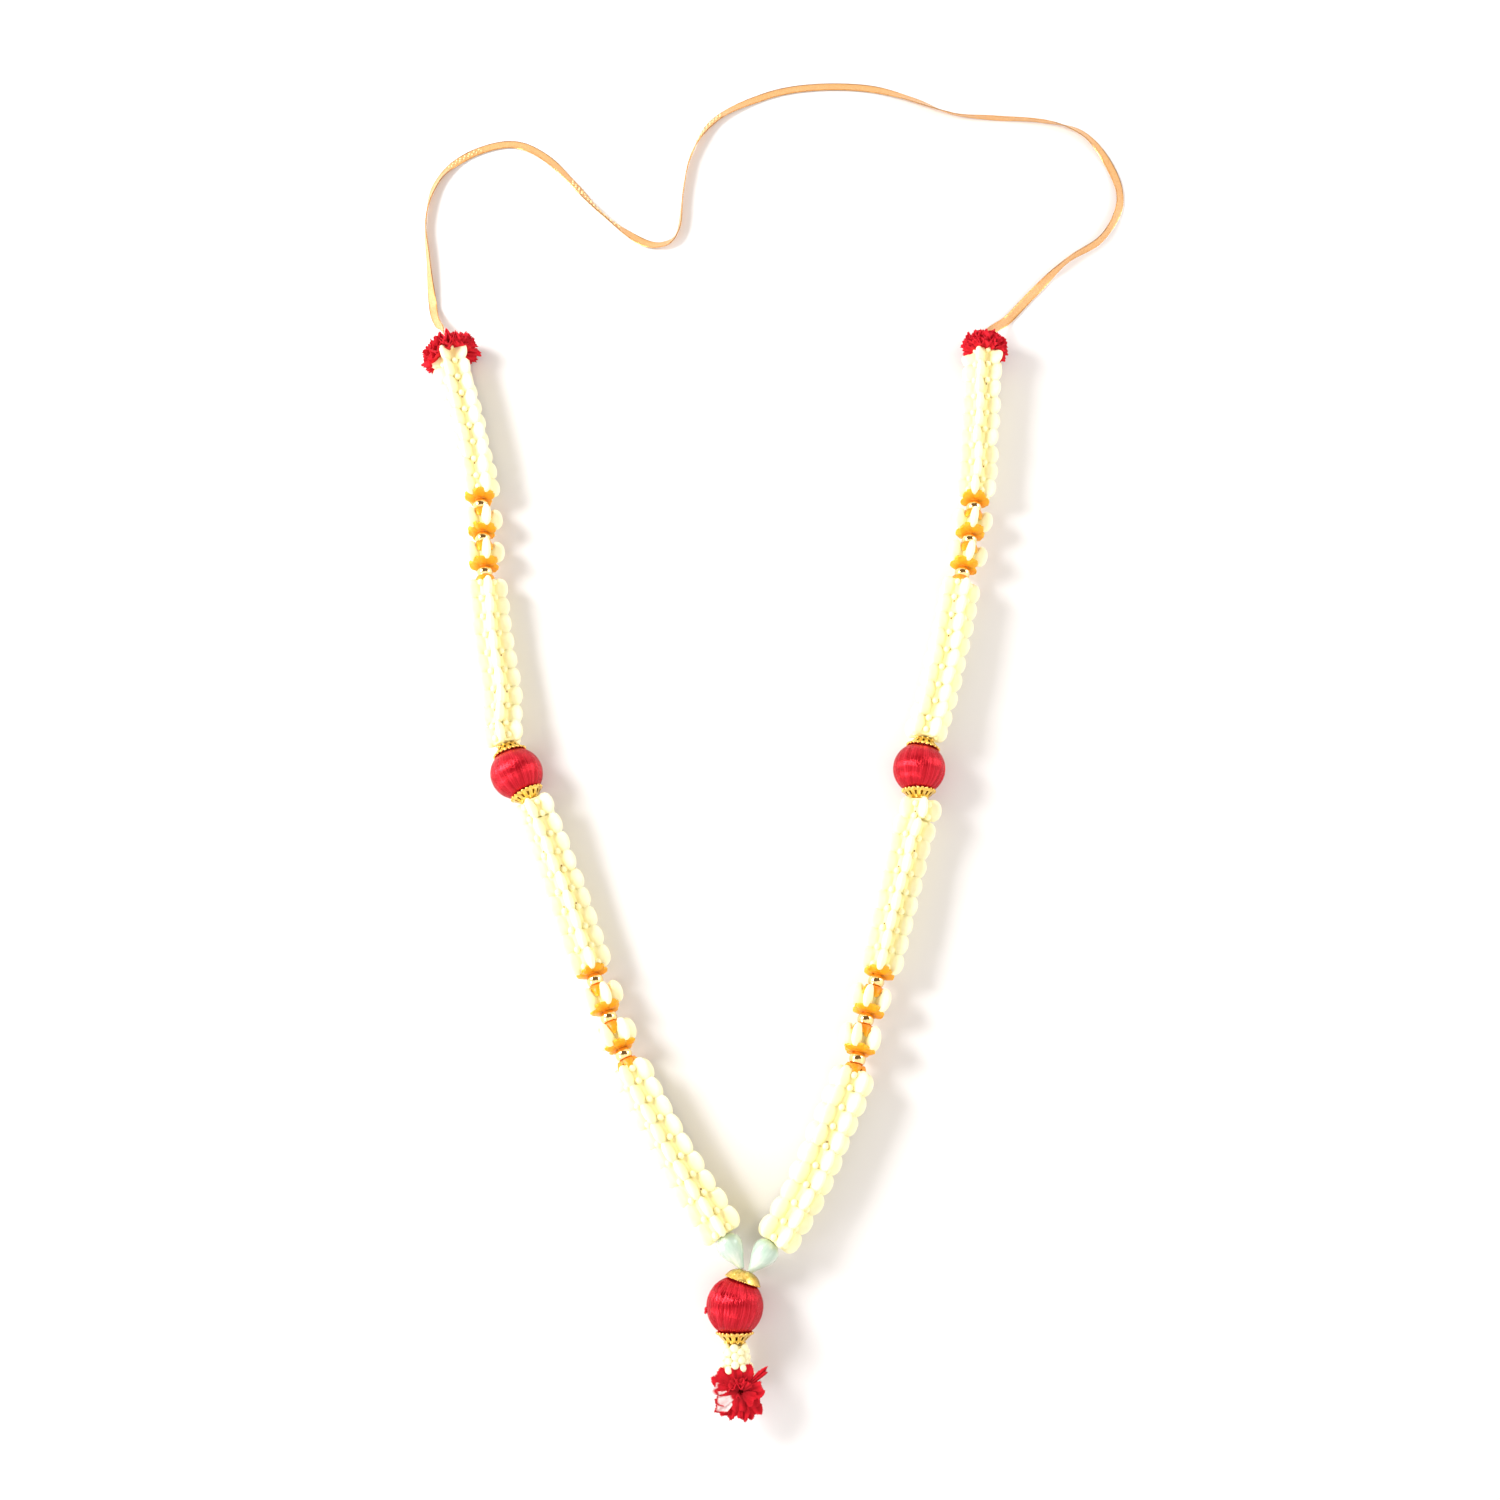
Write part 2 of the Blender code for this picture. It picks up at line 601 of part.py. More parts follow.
def build():
    """The whole garland."""
    finishes = {
        "cream": finish("cream_plastic", (0.95, 0.9, 0.66), 0.45),
        "orange": finish("orange_plastic", (1.0, 0.38, 0.02), 0.35),
        "bead": finish("gold_bead", (0.9, 0.62, 0.2), 0.12, 1.0),
        "cap": finish("gold_cap", (0.9, 0.6, 0.12), 0.3, 1.0),
        "silk": finish("red_silk", (0.75, 0.01, 0.03), 0.35),
        "mint": finish("mint_pearl", (0.6, 0.8, 0.68), 0.2),
        "carnation": finish("red_carnation", (0.7, 0.01, 0.02), 0.8),
        "ribbon": finish("gold_ribbon", (0.85, 0.5, 0.2), 0.5),
        "thread": finish("white_thread", (0.85, 0.85, 0.8), 0.8),
    }
    balls = {
        "left": (LEFT_BALL, heading(-20), heading(180 - 28)),
        "right": (RIGHT_BALL, heading(12), heading(180 + 3)),
        "pendant": (PENDANT_BALL, PENDANT_TILT, heading(180)),
    }
    for name, (centre, top_way, bottom_way) in balls.items():
        silk_ball("ball_" + name, centre, top_way, bottom_way, finishes)

    # Each run starts on the outer end of a ball's cap
    tails = {}
    paths = {}
    for seed, (side, half, numbers, section, pitch, first_turn, twist, route) in enumerate(RUNS):
        centre, top_way, bottom_way = balls[side]
        way = top_way if half == "upper" else bottom_way
        points = [centre + way * CAP_END, centre + way * (CAP_END + 6 * MM)]
        points += [place(x, y, STRAND_HEIGHT) for x, y in route]
        if half == "lower":
            points[-1].z = BALL_HEIGHT * MM
        run = Run(points)
        s, stops = string_run(
            run, side, numbers, section, pitch * MM, first_turn, twist, 10 * seed, finishes
        )
        if half == "lower":
            stops += teardrop("teardrop_" + side, run, s + GAP, finishes)
        tails[side, half] = (run, s)
        paths[side, half] = [run.middle(stop) for stop in stops]

    # The pendant hangs from both threads: its ball, its buds and its carnation
    lower_cap = PENDANT_BALL + heading(180) * CAP_END
    tail = Run([lower_cap, place(-5.3, -226.6, 9.6), place(-4.2, -238.0, 9.2), place(-3.4, -246.0, 9.0)])
    bud_stops = bud_cluster("bud_cluster", tail, GAP, finishes)
    blooms = {"pendant": (tail, bud_stops[-1])}
    blooms["left"] = tails["left", "upper"]
    blooms["right"] = tails["right", "upper"]
    for seed, (name, length, radius, layers) in enumerate(BLOOMS):
        run, s = blooms[name]
        core = Run([run.middle(s + GAP), run.middle(s + GAP + length * MM)])
        carnation("carnation_" + name, core, radius * MM, layers, seed, finishes)
        blooms[name] = core.middle(0.8 * core.length)

    # Each thread, from its carnation down its side and through the pendant
    for side, offset in (("left", -THREAD_OFFSET), ("right", THREAD_OFFSET)):
        centre, top_way, bottom_way = balls[side]
        points = [blooms[side], *paths[side, "upper"][::-1]]
        points += [centre + top_way * BALL_RADIUS, centre + bottom_way * BALL_RADIUS]
        points += paths[side, "lower"]
        pendant = [PENDANT_BALL + PENDANT_TILT * share for share in (CAP_END, BALL_RADIUS)]
        pendant += [PENDANT_BALL + heading(180) * BALL_RADIUS]
        pendant += [tail.middle(s) for s in (0, *bud_stops)] + [blooms["pendant"]]
        points += [point + Vector((offset, 0, 0)) for point in pendant]
        thread("thread_" + side, points, finishes)

    ribbon("ribbon", RIBBON_ROUTE, finishes)


def clear_scene():
    """Takes out whatever the file opens with."""
    for thing in list(bpy.data.objects):
        bpy.data.objects.remove(thing)


clear_scene()
build()
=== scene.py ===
import math
import random

import bpy
import numpy as np
from mathutils import Matrix, Vector


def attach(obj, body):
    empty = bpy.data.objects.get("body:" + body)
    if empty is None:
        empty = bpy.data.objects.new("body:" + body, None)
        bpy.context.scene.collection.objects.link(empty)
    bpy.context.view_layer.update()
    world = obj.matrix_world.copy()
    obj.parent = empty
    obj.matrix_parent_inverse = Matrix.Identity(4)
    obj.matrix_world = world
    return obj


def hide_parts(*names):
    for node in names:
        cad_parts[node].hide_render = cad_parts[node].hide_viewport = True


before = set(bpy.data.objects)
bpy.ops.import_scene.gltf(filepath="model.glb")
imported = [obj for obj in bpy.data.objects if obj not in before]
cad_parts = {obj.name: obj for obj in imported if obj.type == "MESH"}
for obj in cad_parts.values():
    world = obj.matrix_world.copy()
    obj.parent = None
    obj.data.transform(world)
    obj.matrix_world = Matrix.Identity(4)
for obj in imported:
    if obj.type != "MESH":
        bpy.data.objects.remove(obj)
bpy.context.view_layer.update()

# The stringing threads: two white cotton threads, each twisted from two plies.
# Each runs from its carnation down one side and, beside the other, through the pendant.
# Every piece is strung on them, so the garland's lay on the table is theirs.
MM = 0.001
MIDDLE_X = -15.67 * MM
MIDDLE_Y = -29.96 * MM
GAP = 0.3 * MM
STRAND_HEIGHT = 8.5
BALL_HEIGHT = 9.9
BALL_RADIUS = 10.2 * MM
CAP_END = 12.6 * MM
TEAR_LENGTH = 12.4 * MM
BUDS_LENGTH = 11.0 * MM
PIECES_IN_STRAND = 9
SINGLE_PITCH = 6.4 * MM
BEAD_RADIUS = 3.15
WIDE_BORE = 1.3
CUP_FLOOR = 0.8 * MM
UNIT_LENGTH = 2 * (2 * GAP + CUP_FLOOR + math.sqrt(BEAD_RADIUS**2 - WIDE_BORE**2) * MM)
THREAD_OFFSET = 0.45 * MM


def place(x, y, z):
    """A point in millimetres from the middle of the layout, as a place in metres."""
    return Vector((x * MM - MIDDLE_X, y * MM - MIDDLE_Y, z * MM))


def heading(degrees):
    """A level direction, turned from the ribbon's end of the table towards the right."""
    return Vector((math.sin(math.radians(degrees)), math.cos(math.radians(degrees)), 0))


def standing(middle, ahead):
    """Where a piece stands: its middle, its side, its upper side and its way ahead."""
    side = ahead.cross(Vector((0, 0, 1))).normalized()
    return np.array([middle, side, side.cross(ahead), ahead])


class Lay:
    """A smooth stretch of thread as it lies through a few chosen points."""

    def __init__(self, points, steps=24):
        self.line = [points[0].copy()]
        for i in range(len(points) - 1):
            before = points[i - 1] if i else points[0] * 2 - points[1]
            after = points[i + 2] if i + 2 < len(points) else points[i + 1] * 2 - points[i]
            for k in range(1, steps + 1):
                t = k / steps
                a = (points[i] - before) * (t - 2 * t**2 + t**3) * 0.5
                a += (points[i + 1] - points[i]) * ((t - 2 * t**2 + t**3) + (t**3 - t**2)) * 0.5
                a += (after - points[i + 1]) * (t**3 - t**2) * 0.5
                blend = 3 * t**2 - 2 * t**3
                self.line.append(points[i] * (1 - blend) + points[i + 1] * blend + a)
        self.marks = [0.0]
        for a, b in zip(self.line, self.line[1:]):
            self.marks.append(self.marks[-1] + (b - a).length)
        self.length = self.marks[-1]

    def middle(self, s):
        """The point at a distance s along the thread, carried straight on past its ends."""
        last = len(self.line) - 1
        i = next((k for k in range(1, last) if self.marks[k] > s), last)
        share = (s - self.marks[i - 1]) / (self.marks[i] - self.marks[i - 1])
        return self.line[i - 1].lerp(self.line[i], share)

    def stand(self, s):
        """Where a piece strung at a distance s along the thread stands."""
        return standing(self.middle(s), (self.middle(s + MM) - self.middle(s - MM)).normalized())


def turned(r, angle, z=0.0):
    """A point at a radius and an angle round the thread, and a distance along it."""
    return r * math.cos(angle), r * math.sin(angle), z


def strung(local, stand):
    """A piece's own points, side, up and along the thread, moved to where it stands."""
    return np.asarray(local) @ stand[1:] + stand[0]


class Shells:
    """Closed shells gathered into one piece, with each point's tone and each face's finish."""

    def __init__(self):
        self.points, self.faces, self.tones, self.finishes = [], [], [], []

    def add(self, points, faces, tones=0.0, finish=0):
        first = len(self.points)
        self.points += [tuple(p) for p in points]
        self.faces += [tuple(first + i for i in face) for face in faces]
        self.tones += list(np.broadcast_to(tones, len(points)))
        self.finishes += [finish] * len(faces)


def wrap(rings, count):
    """Faces that join equal rings one after another, and the last back to the first."""
    faces = []
    for r in range(rings):
        near, far = r * count, (r + 1) % rings * count
        for k in range(count):
            j = (k + 1) % count
            faces.append((near + k, near + j, far + j, far + k))
    return faces


def hang(name, shells, finishes, nodes, thickness=0.0, stand=None):
    """Makes a piece where it stands, with its finishes, and hides the solids it stands for."""
    mesh = bpy.data.meshes.new(name)
    mesh.from_pydata(shells.points, [], shells.faces)
    mesh.attributes.new("tone", "FLOAT", "POINT").data.foreach_set("value", shells.tones)
    for finish in finishes:
        mesh.materials.append(finish)
    mesh.polygons.foreach_set("material_index", shells.finishes)
    mesh.shade_smooth()
    piece = bpy.data.objects.new(name, mesh)
    bpy.context.scene.collection.objects.link(piece)
    if stand is not None:
        rows = [[*stand[1:, row], stand[0, row]] for row in range(3)]
        piece.matrix_world = Matrix(rows + [[0, 0, 0, 1]])
    if thickness:
        wall = piece.modifiers.new("wall", "SOLIDIFY")
        wall.thickness = thickness
        wall.offset = 0
        bpy.context.view_layer.update()
        evaluated = piece.evaluated_get(bpy.context.evaluated_depsgraph_get())
        piece.data = bpy.data.meshes.new_from_object(evaluated)
        piece.modifiers.remove(wall)
    back = piece.matrix_world.inverted().to_3x3()
    for v in piece.data.vertices:
        sunk = (piece.matrix_world @ v.co).z
        if sunk < 0:
            v.co -= back @ Vector((0, 0, sunk))
    piece.data.set_sharp_from_angle(angle=math.radians(50))
    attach(piece, "root")
    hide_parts(*nodes)
    return piece


def colours_along(tree, source, stops):
    """A run of colours laid along a value."""
    ramp = tree.nodes.new("ShaderNodeValToRGB")
    while len(ramp.color_ramp.elements) < len(stops):
        ramp.color_ramp.elements.new(0.5)
    for element, (position, colour) in zip(ramp.color_ramp.elements, stops):
        element.position = position
        element.color = (*colour, 1.0)
    tree.links.new(source, ramp.inputs["Fac"])
    return ramp.outputs["Color"]


class Finish:
    """A finish built up from its shader and the textures that feed it."""

    def __init__(self, name, **sockets):
        self.material = bpy.data.materials.new(name)
        self.material.use_nodes = True
        self.tree = self.material.node_tree
        self.shader = self.tree.nodes["Principled BSDF"]
        for socket, value in sockets.items():
            self.shader.inputs[socket.replace("_", " ")].default_value = value

    def node(self, kind, **values):
        made = self.tree.nodes.new("ShaderNode" + kind)
        for key, value in values.items():
            if key in made.inputs:
                made.inputs[key].default_value = value
            else:
                setattr(made, key, value)
        return made

    def link(self, source, target):
        self.tree.links.new(source, target)

    def speckle(self, scale, detail=3.0, stretch=(1, 1, 1)):
        """Soft noise in the object's own space, drawn out along its axes if asked."""
        where = self.node("TexCoord")
        drawn = self.node("Mapping")
        drawn.inputs["Scale"].default_value = stretch
        noise = self.node("TexNoise", Scale=scale, Detail=detail)
        self.link(where.outputs["Object"], drawn.inputs["Vector"])
        self.link(drawn.outputs["Vector"], noise.inputs["Vector"])
        return noise.outputs["Fac"]

    def tone(self):
        return self.node("Attribute", attribute_name="tone").outputs["Fac"]

    def shades(self, source, stops):
        return colours_along(self.tree, source, stops)

    def mottled(self, scale, first, second, detail=3.0):
        """Two colours in soft patches."""
        return self.shades(self.speckle(scale, detail), [(0.3, first), (0.7, second)])

    def mixed(self, factor, first, second, way="MIX"):
        """Two colours mixed by a value or by a fixed share."""
        mix = self.node("Mix", data_type="RGBA", blend_type=way)
        sockets = (mix.inputs[0], mix.inputs[6], mix.inputs[7])
        for value, socket in zip((factor, first, second), sockets):
            if isinstance(value, (float, tuple)):
                socket.default_value = value
            else:
                self.link(value, socket)
        return mix.outputs[2]

    def colour(self, source):
        self.link(source, self.shader.inputs["Base Color"])

    def spread(self, source, socket, low, high):
        """A value spread over a range of the shader's own, such as its roughness."""
        reach = self.node("MapRange")
        reach.inputs["To Min"].default_value = low
        reach.inputs["To Max"].default_value = high
        self.link(source, reach.inputs["Value"])
        self.link(reach.outputs["Result"], self.shader.inputs[socket])

    def relief(self, source, height, strength=1.0):
        """Fine relief on the surface, its height in metres."""
        bump = self.node("Bump", Strength=strength, Distance=height)
        self.link(source, bump.inputs["Height"])
        held = self.shader.inputs["Normal"]
        if held.is_linked:
            self.link(held.links[0].from_socket, bump.inputs["Normal"])
        self.link(bump.outputs["Normal"], held)


BALLS = {
    "left": (place(-91.4, -12.4, BALL_HEIGHT), heading(-20), heading(180 - 28)),
    "right": (place(66.3, -10.5, BALL_HEIGHT), heading(12), heading(180 + 3)),
    "pendant": (place(-5.4, -209.2, BALL_HEIGHT), heading(18), heading(180)),
}

# Each side's upper and lower thread: strand numbers, bead section, pitch of its pieces,
# first turn and twist, and points along it from the ball outwards
THREADS = [
    (
        "left", "upper", ("2", "1"), "a", 7.8, 18, -2.0,
        [(-99.0, 20), (-104.0, 45), (-107.6, 69), (-109.6, 88), (-112.6, 112), (-119.5, 142),
         (-128.0, 173), (-131.5, 186)],
    ),
    (
        "left", "lower", ("3", "4"), "b", 7.8, 6, 3.0,
        [(-77.0, -43), (-68.5, -66), (-60.5, -88), (-53.0, -107), (-45.0, -125), (-33.5, -146),
         (-20.0, -169), (-9.5, -185), (-2.9, -196.2)],
    ),
    (
        "right", "upper", ("2", "1"), "a", 7.6, 54, 2.0,
        [(73.5, 17), (79.8, 42), (85.2, 67), (89.6, 85), (93.2, 108), (96.4, 140), (99.6, 172),
         (101.0, 186)],
    ),
    (
        "right", "lower", ("3", "4"), "b", 7.6, 30, -2.5,
        [(61.6, -40), (55.8, -64), (49.6, -87), (43.4, -108), (38.2, -129), (30.0, -148),
         (20.6, -168), (9.4, -186), (0.2, -197.2)],
    ),
]


def turns_of(count, first, twist, seed):
    """How far each piece is turned on the thread, with a slow twist and a little play."""
    draw = random.Random(seed)
    play = math.radians(5)
    return [first + twist * k + draw.uniform(-play, play) for k in range(count)]


# Every strung place along the threads: strands, single pieces and beads with their cups
strands, singles, units, tails = [], [], [], {}
for seed, (side, half, numbers, section, pitch, first, twist, route) in enumerate(THREADS):
    centre, top_way, bottom_way = BALLS[side]
    way = top_way if half == "upper" else bottom_way
    points = [centre + way * CAP_END, centre + way * (CAP_END + 6 * MM)]
    points += [place(x, y, STRAND_HEIGHT) for x, y in route]
    if half == "lower":
        points[-1].z = BALL_HEIGHT * MM
    lay = Lay(points)
    twist = math.radians(twist)
    near = turns_of(PIECES_IN_STRAND, math.radians(first), twist, 10 * seed)
    middle = turns_of(4, near[-1], 4 * twist, 10 * seed + 1)
    far = turns_of(PIECES_IN_STRAND, middle[-1], twist, 10 * seed + 2)
    turns = [near[-1], middle[1], middle[2], far[0]]
    s = GAP
    strands.append((f"{side}_{numbers[0]}", lay, s, near, pitch * MM))
    s += pitch * MM * PIECES_IN_STRAND
    for k in range(3):
        units.append((f"{side}_{section}_{k + 1}", lay, s, turns[k], turns[k + 1]))
        s += UNIT_LENGTH
        if k < 2:
            singles.append((f"{side}_{section}_{k + 1}", lay, s, turns[k + 1]))
            s += SINGLE_PITCH
    strands.append((f"{side}_{numbers[1]}", lay, s, far, pitch * MM))
    s += pitch * MM * PIECES_IN_STRAND
    tails[side, half] = (lay, s)

pendant_centre, pendant_top, pendant_bottom = BALLS["pendant"]
pendant_tail = Lay([
    pendant_centre + pendant_bottom * CAP_END,
    place(-5.3, -226.6, 9.6),
    place(-4.2, -238.0, 9.2),
    place(-3.4, -246.0, 9.0),
])

# Where each carnation's core starts, its length and its radius
CORES = {
    "left": (*tails["left", "upper"], 6.5 * MM, 5.6 * MM),
    "right": (*tails["right", "upper"], 5.0 * MM, 5.0 * MM),
    "pendant": (pendant_tail, GAP + BUDS_LENGTH, 5.5 * MM, 4.0 * MM),
}
cores = {}
for name, (lay, s, length, radius) in CORES.items():
    cores[name] = Lay([lay.middle(s + GAP), lay.middle(s + GAP + length)])

THREAD_RADIUS = 0.35 * MM
THREAD_STEP = 0.9 * MM
PLY_SIDES = 8
PLY_TURN = 1.6 * MM
PLY_DEPTH = 0.14
# How far into a carnation's core a thread ends, as a share of the core's length
THREAD_END = 0.8

cotton = Finish("white_cotton_thread", Roughness=0.85, Sheen_Weight=0.3, Sheen_Roughness=0.5)
cotton.colour(cotton.mottled(2500, (0.78, 0.75, 0.68), (0.93, 0.91, 0.86)))
cotton.relief(cotton.speckle(6000), 0.05 * MM, 0.6)

for side, offset in (("left", -THREAD_OFFSET), ("right", THREAD_OFFSET)):
    centre, top_way, bottom_way = BALLS[side]
    upper, upper_end = tails[side, "upper"]
    lower, lower_end = tails[side, "lower"]
    points = [cores[side].middle(THREAD_END * cores[side].length)]
    points += [upper.middle(upper_end * (1 - k / 80)) for k in range(81)]
    points += [lower.middle((lower_end + GAP + TEAR_LENGTH) * k / 90) for k in range(91)]
    end = [pendant_centre + pendant_top * share for share in (CAP_END, BALL_RADIUS)]
    end += [pendant_centre + pendant_bottom * BALL_RADIUS]
    end += [pendant_tail.middle(k * MM) for k in range(13)]
    end += [cores["pendant"].middle(THREAD_END * cores["pendant"].length)]
    points += [point + Vector((offset, 0, 0)) for point in end]
    along = Lay(points, steps=4)
    shells = Shells()
    rings = []
    count = int(along.length / THREAD_STEP)
    for i in range(count):
        s = along.length * i / (count - 1)
        ring = []
        for k in range(PLY_SIDES):
            angle = k * 2 * math.pi / PLY_SIDES
            plies = PLY_DEPTH * math.cos(2 * angle + 2 * math.pi * s / PLY_TURN)
            ring.append(turned(THREAD_RADIUS * (1 - PLY_DEPTH + plies), angle))
        rings += list(strung(ring, along.stand(s)))
    faces = wrap(count, PLY_SIDES)[:-PLY_SIDES]
    faces += [tuple(range(PLY_SIDES)), tuple(range(len(rings) - PLY_SIDES, len(rings)))]
    shells.add(rings, faces)
    hang(f"cotton_thread_{side}", shells, [cotton.material], [f"thread_{side}"])

# The crown flowers: each is one moulded piece of cream plastic with five fat round fins, a
# small bud in each valley at its outer end, and a bore that it is strung by, nose to tail.
# The plastic is waxy; its valleys are painted a deeper yellow as painted shade and its rims paler
# as painted light.
FINS = 5
FIN_REACH = 8.8 * MM
SINGLE_REACH = 8.5 * MM
SINGLE_STRETCH = 2.0
TOP_DROP = 2.0
FIN_MIDDLE = 5.15
FIN_HALF_THICKNESS = 1.66
ROUNDNESS = 2.2
FIN_OVERLAP = 1.13
SINGLE_OVERLAP = 1.06
VALLEY = 4.1
SINGLE_VALLEY = 3.1
BORE = 0.75
FIN_SWEEP = (90, 66, 46, 28, 12)
RING_PLACES = (-0.975, -0.9, -0.76, -0.55, -0.29, 0, 0.29, 0.55, 0.76, 0.9, 0.975)
BUD_RADIUS = 1.2
BUD_ABOVE_VALLEY = 0.55
# Where the buds stand along a piece, as shares of its length from its middle
BUD_PLACES = (0.42,)
FIRST_BUD_PLACES = (-0.22, 0.42)
LAST_BUD_PLACES = (0.3,)
BUD_TONE = 0.62
TOP_SPLAY = 0.09
MARK_SIZE = (0.34, 0.34, 0.4)
MARK_PLACE = 0.2
MARK_CHANCE = 0.22


def hoop(r, z, count):
    """Points evenly round the thread, at one radius and one place along it."""
    return [turned(r, 2 * math.pi * k / count, z) for k in range(count)]


def ball_grid(radii, centre, sides=8, bands=6):
    """A small round body: its points and faces."""
    points = [(0, 0, -1)]
    for b in range(1, bands):
        polar = math.pi * b / bands
        points += hoop(math.sin(polar), -math.cos(polar), sides)
    points.append((0, 0, 1))
    faces = [(0, 1 + (k + 1) % sides, 1 + k) for k in range(sides)]
    for b in range(bands - 2):
        for k in range(sides):
            j = (k + 1) % sides
            a = 1 + b * sides
            faces.append((a + k, a + j, a + sides + j, a + sides + k))
    last = len(points) - 1
    faces += [(last, last - sides + k, last - sides + (k + 1) % sides) for k in range(sides)]
    return np.array(points) * radii + centre, faces


def crown_flower(length, reach, valley, splay=0.0, stretch=0.0):
    """One crown flower on its own: points in metres and tones, by ring from its near end.
    Its fins may splay and stop short at the outer end, or stretch past one end of its column."""
    half = length / MM / 2 * 1.015
    fin_out = reach / MM - FIN_MIDDLE
    overlap = SINGLE_OVERLAP if stretch else FIN_OVERLAP
    points, tones = [], []
    for share in RING_PLACES:
        fade = (1 - abs(share) ** ROUNDNESS) ** (1 / ROUNDNESS)
        lean = 1 + splay * (share + 0.6)
        fin_z = share * (half * overlap + abs(stretch) / 2) + stretch / 2
        if splay:
            fin_z -= TOP_DROP * (share + 1) / 2
        thick = FIN_HALF_THICKNESS * fade
        for fin in range(FINS):
            arm = fin * 2 * math.pi / FINS
            # A point's tone is how far out from the thread it stands, which the finish turns into
            # painted shade in the valleys and painted light at the rims
            arc = [(max(valley + 0.75, 4.4), thick + 0.12, 0.28)]
            heights = [share * half] + [fin_z] * (2 * len(FIN_SWEEP) + 1) + [share * half]
            for sweep in FIN_SWEEP:
                turn = math.radians(sweep)
                out = FIN_MIDDLE + fin_out * fade * math.cos(turn) ** (2 / ROUNDNESS)
                side = thick * math.sin(turn) ** (2 / ROUNDNESS)
                arc.append((out * lean, side, out * MM / reach))
            tip = (FIN_MIDDLE + fin_out * fade) * lean
            outline = [(r, -t, tone) for r, t, tone in arc]
            outline += [(tip, 0.0, 1.0)]
            outline += [(r, t, tone) for r, t, tone in reversed(arc)]
            for (r, t, tone), z in zip(outline, heights):
                x = r * math.cos(arm) - t * math.sin(arm)
                y = r * math.sin(arm) + t * math.cos(arm)
                points.append((x, y, z))
                tones.append(tone)
            for part in (-0.3, 0.0, 0.3):
                angle = arm + math.pi / FINS + part * math.pi / FINS
                points.append(turned(valley, angle, share * half))
                tones.append(0.0)
    around = len(points) // len(RING_PLACES)
    for share in (RING_PLACES[-1], RING_PLACES[0]):
        for k in range(around):
            angle = 2 * math.pi * (k - around / FINS / 2) / around
            points.append(turned(BORE, angle, share * half))
            tones.append(0.0)
    return np.array(points) * MM, wrap(len(RING_PLACES) + 2, around), tones


def string_flower(shells, lay, s, length, reach, turn, draw, places, splay=0.0, stretch=0.0):
    """Strings one crown flower on the thread, with its valley buds and moulding marks."""
    stand = lay.stand(s + length / 2)
    tilt = Vector((draw.uniform(-1, 1), draw.uniform(-1, 1), 0)) * math.radians(1.5)
    c, n = math.cos(turn), math.sin(turn)
    spin = np.array([[c, n, 0], [-n, c, 0], [tilt.y, -tilt.x, 1]])
    valley = SINGLE_VALLEY if stretch else VALLEY
    bud_out = valley + BUD_ABOVE_VALLEY
    points, faces, tones = crown_flower(length, reach, valley, splay, stretch)
    shells.add(strung(points @ spin, stand), faces, tones)
    for fin in range(FINS):
        angle = (fin + 0.5) * 2 * math.pi / FINS
        for place_along in places:
            centre = turned(bud_out, angle, place_along * length / MM)
            bud, sides = ball_grid((BUD_RADIUS, BUD_RADIUS, BUD_RADIUS * 1.1), centre, 10, 8)
            shells.add(strung(bud * MM @ spin, stand), sides, BUD_TONE)
        if splay or draw.random() < MARK_CHANCE:
            centre = turned(valley, angle, length / MM * MARK_PLACE)
            mark, sides = ball_grid(MARK_SIZE, centre, 6, 4)
            shells.add(strung(mark * MM @ spin, stand), sides, 0.0, 1)


cream = Finish(
    "cream_crown_plastic", Roughness=0.38, IOR=1.47, Specular_IOR_Level=0.3,
    Subsurface_Weight=0.1, Subsurface_Radius=(1.0, 0.8, 0.5), Subsurface_Scale=3.0 * MM,
)
# Painted shade: deeper yellow in the valleys and round the bore, fading to paler rims as painted
# light
depth_shading = cream.shades(cream.tone(), [
    (0.0, (0.99, 0.90, 0.45)), (0.34, (0.99, 0.92, 0.52)),
    (0.62, (0.99, 0.94, 0.60)), (1.0, (0.99, 0.95, 0.68)),
])
clouded = cream.mottled(260, (0.98, 0.95, 0.88), (1.0, 1.0, 1.0), 4)
cream.colour(cream.mixed(1.0, depth_shading, clouded, "MULTIPLY"))
cream.spread(cream.speckle(900), "Roughness", 0.3, 0.5)
cream.relief(cream.speckle(1400, 2), 0.03 * MM, 0.5)

gate = Finish("brown_moulding_mark", Roughness=0.6)
gate.colour(gate.mottled(1500, (0.18, 0.07, 0.015), (0.42, 0.2, 0.05)))
plastics = [cream.material, gate.material]

for index, (name, lay, start, turns, pitch) in enumerate(strands):
    shells = Shells()
    draw = random.Random(100 + index)
    for k, turn in enumerate(turns):
        splay = 0.0
        places = FIRST_BUD_PLACES if k == 0 else BUD_PLACES
        if k == PIECES_IN_STRAND - 1:
            places = LAST_BUD_PLACES
            if name.endswith("_1"):
                splay = TOP_SPLAY
        string_flower(shells, lay, start + k * pitch, pitch, FIN_REACH, turn, draw, places, splay)
    hang(f"crown_flowers_{name}", shells, plastics, [f"strand_{name}"])

for index, (name, lay, start, turn) in enumerate(singles):
    shells = Shells()
    draw = random.Random(200 + index)
    stretch = SINGLE_STRETCH if "_a_" in name else -SINGLE_STRETCH
    string_flower(
        shells, lay, start, SINGLE_PITCH, SINGLE_REACH, turn, draw, (), stretch=stretch,
    )
    hang(f"crown_flower_{name}", shells, plastics, [f"single_{name}"])

# The orange cups: five-petalled calyxes of soft orange plastic, threaded in pairs either side
# of a gold bead. The upper one of each pair lies open, nearly square to the thread, and the
# lower one is shut along its flower.
PETAL_ROWS = 9
PETAL_COLUMNS = 9
BELL = ((0.9, -0.1), (1.6, -0.25), (2.15, -0.85))
BELL_SIDES = 20
CUP_WALL = 0.6 * MM
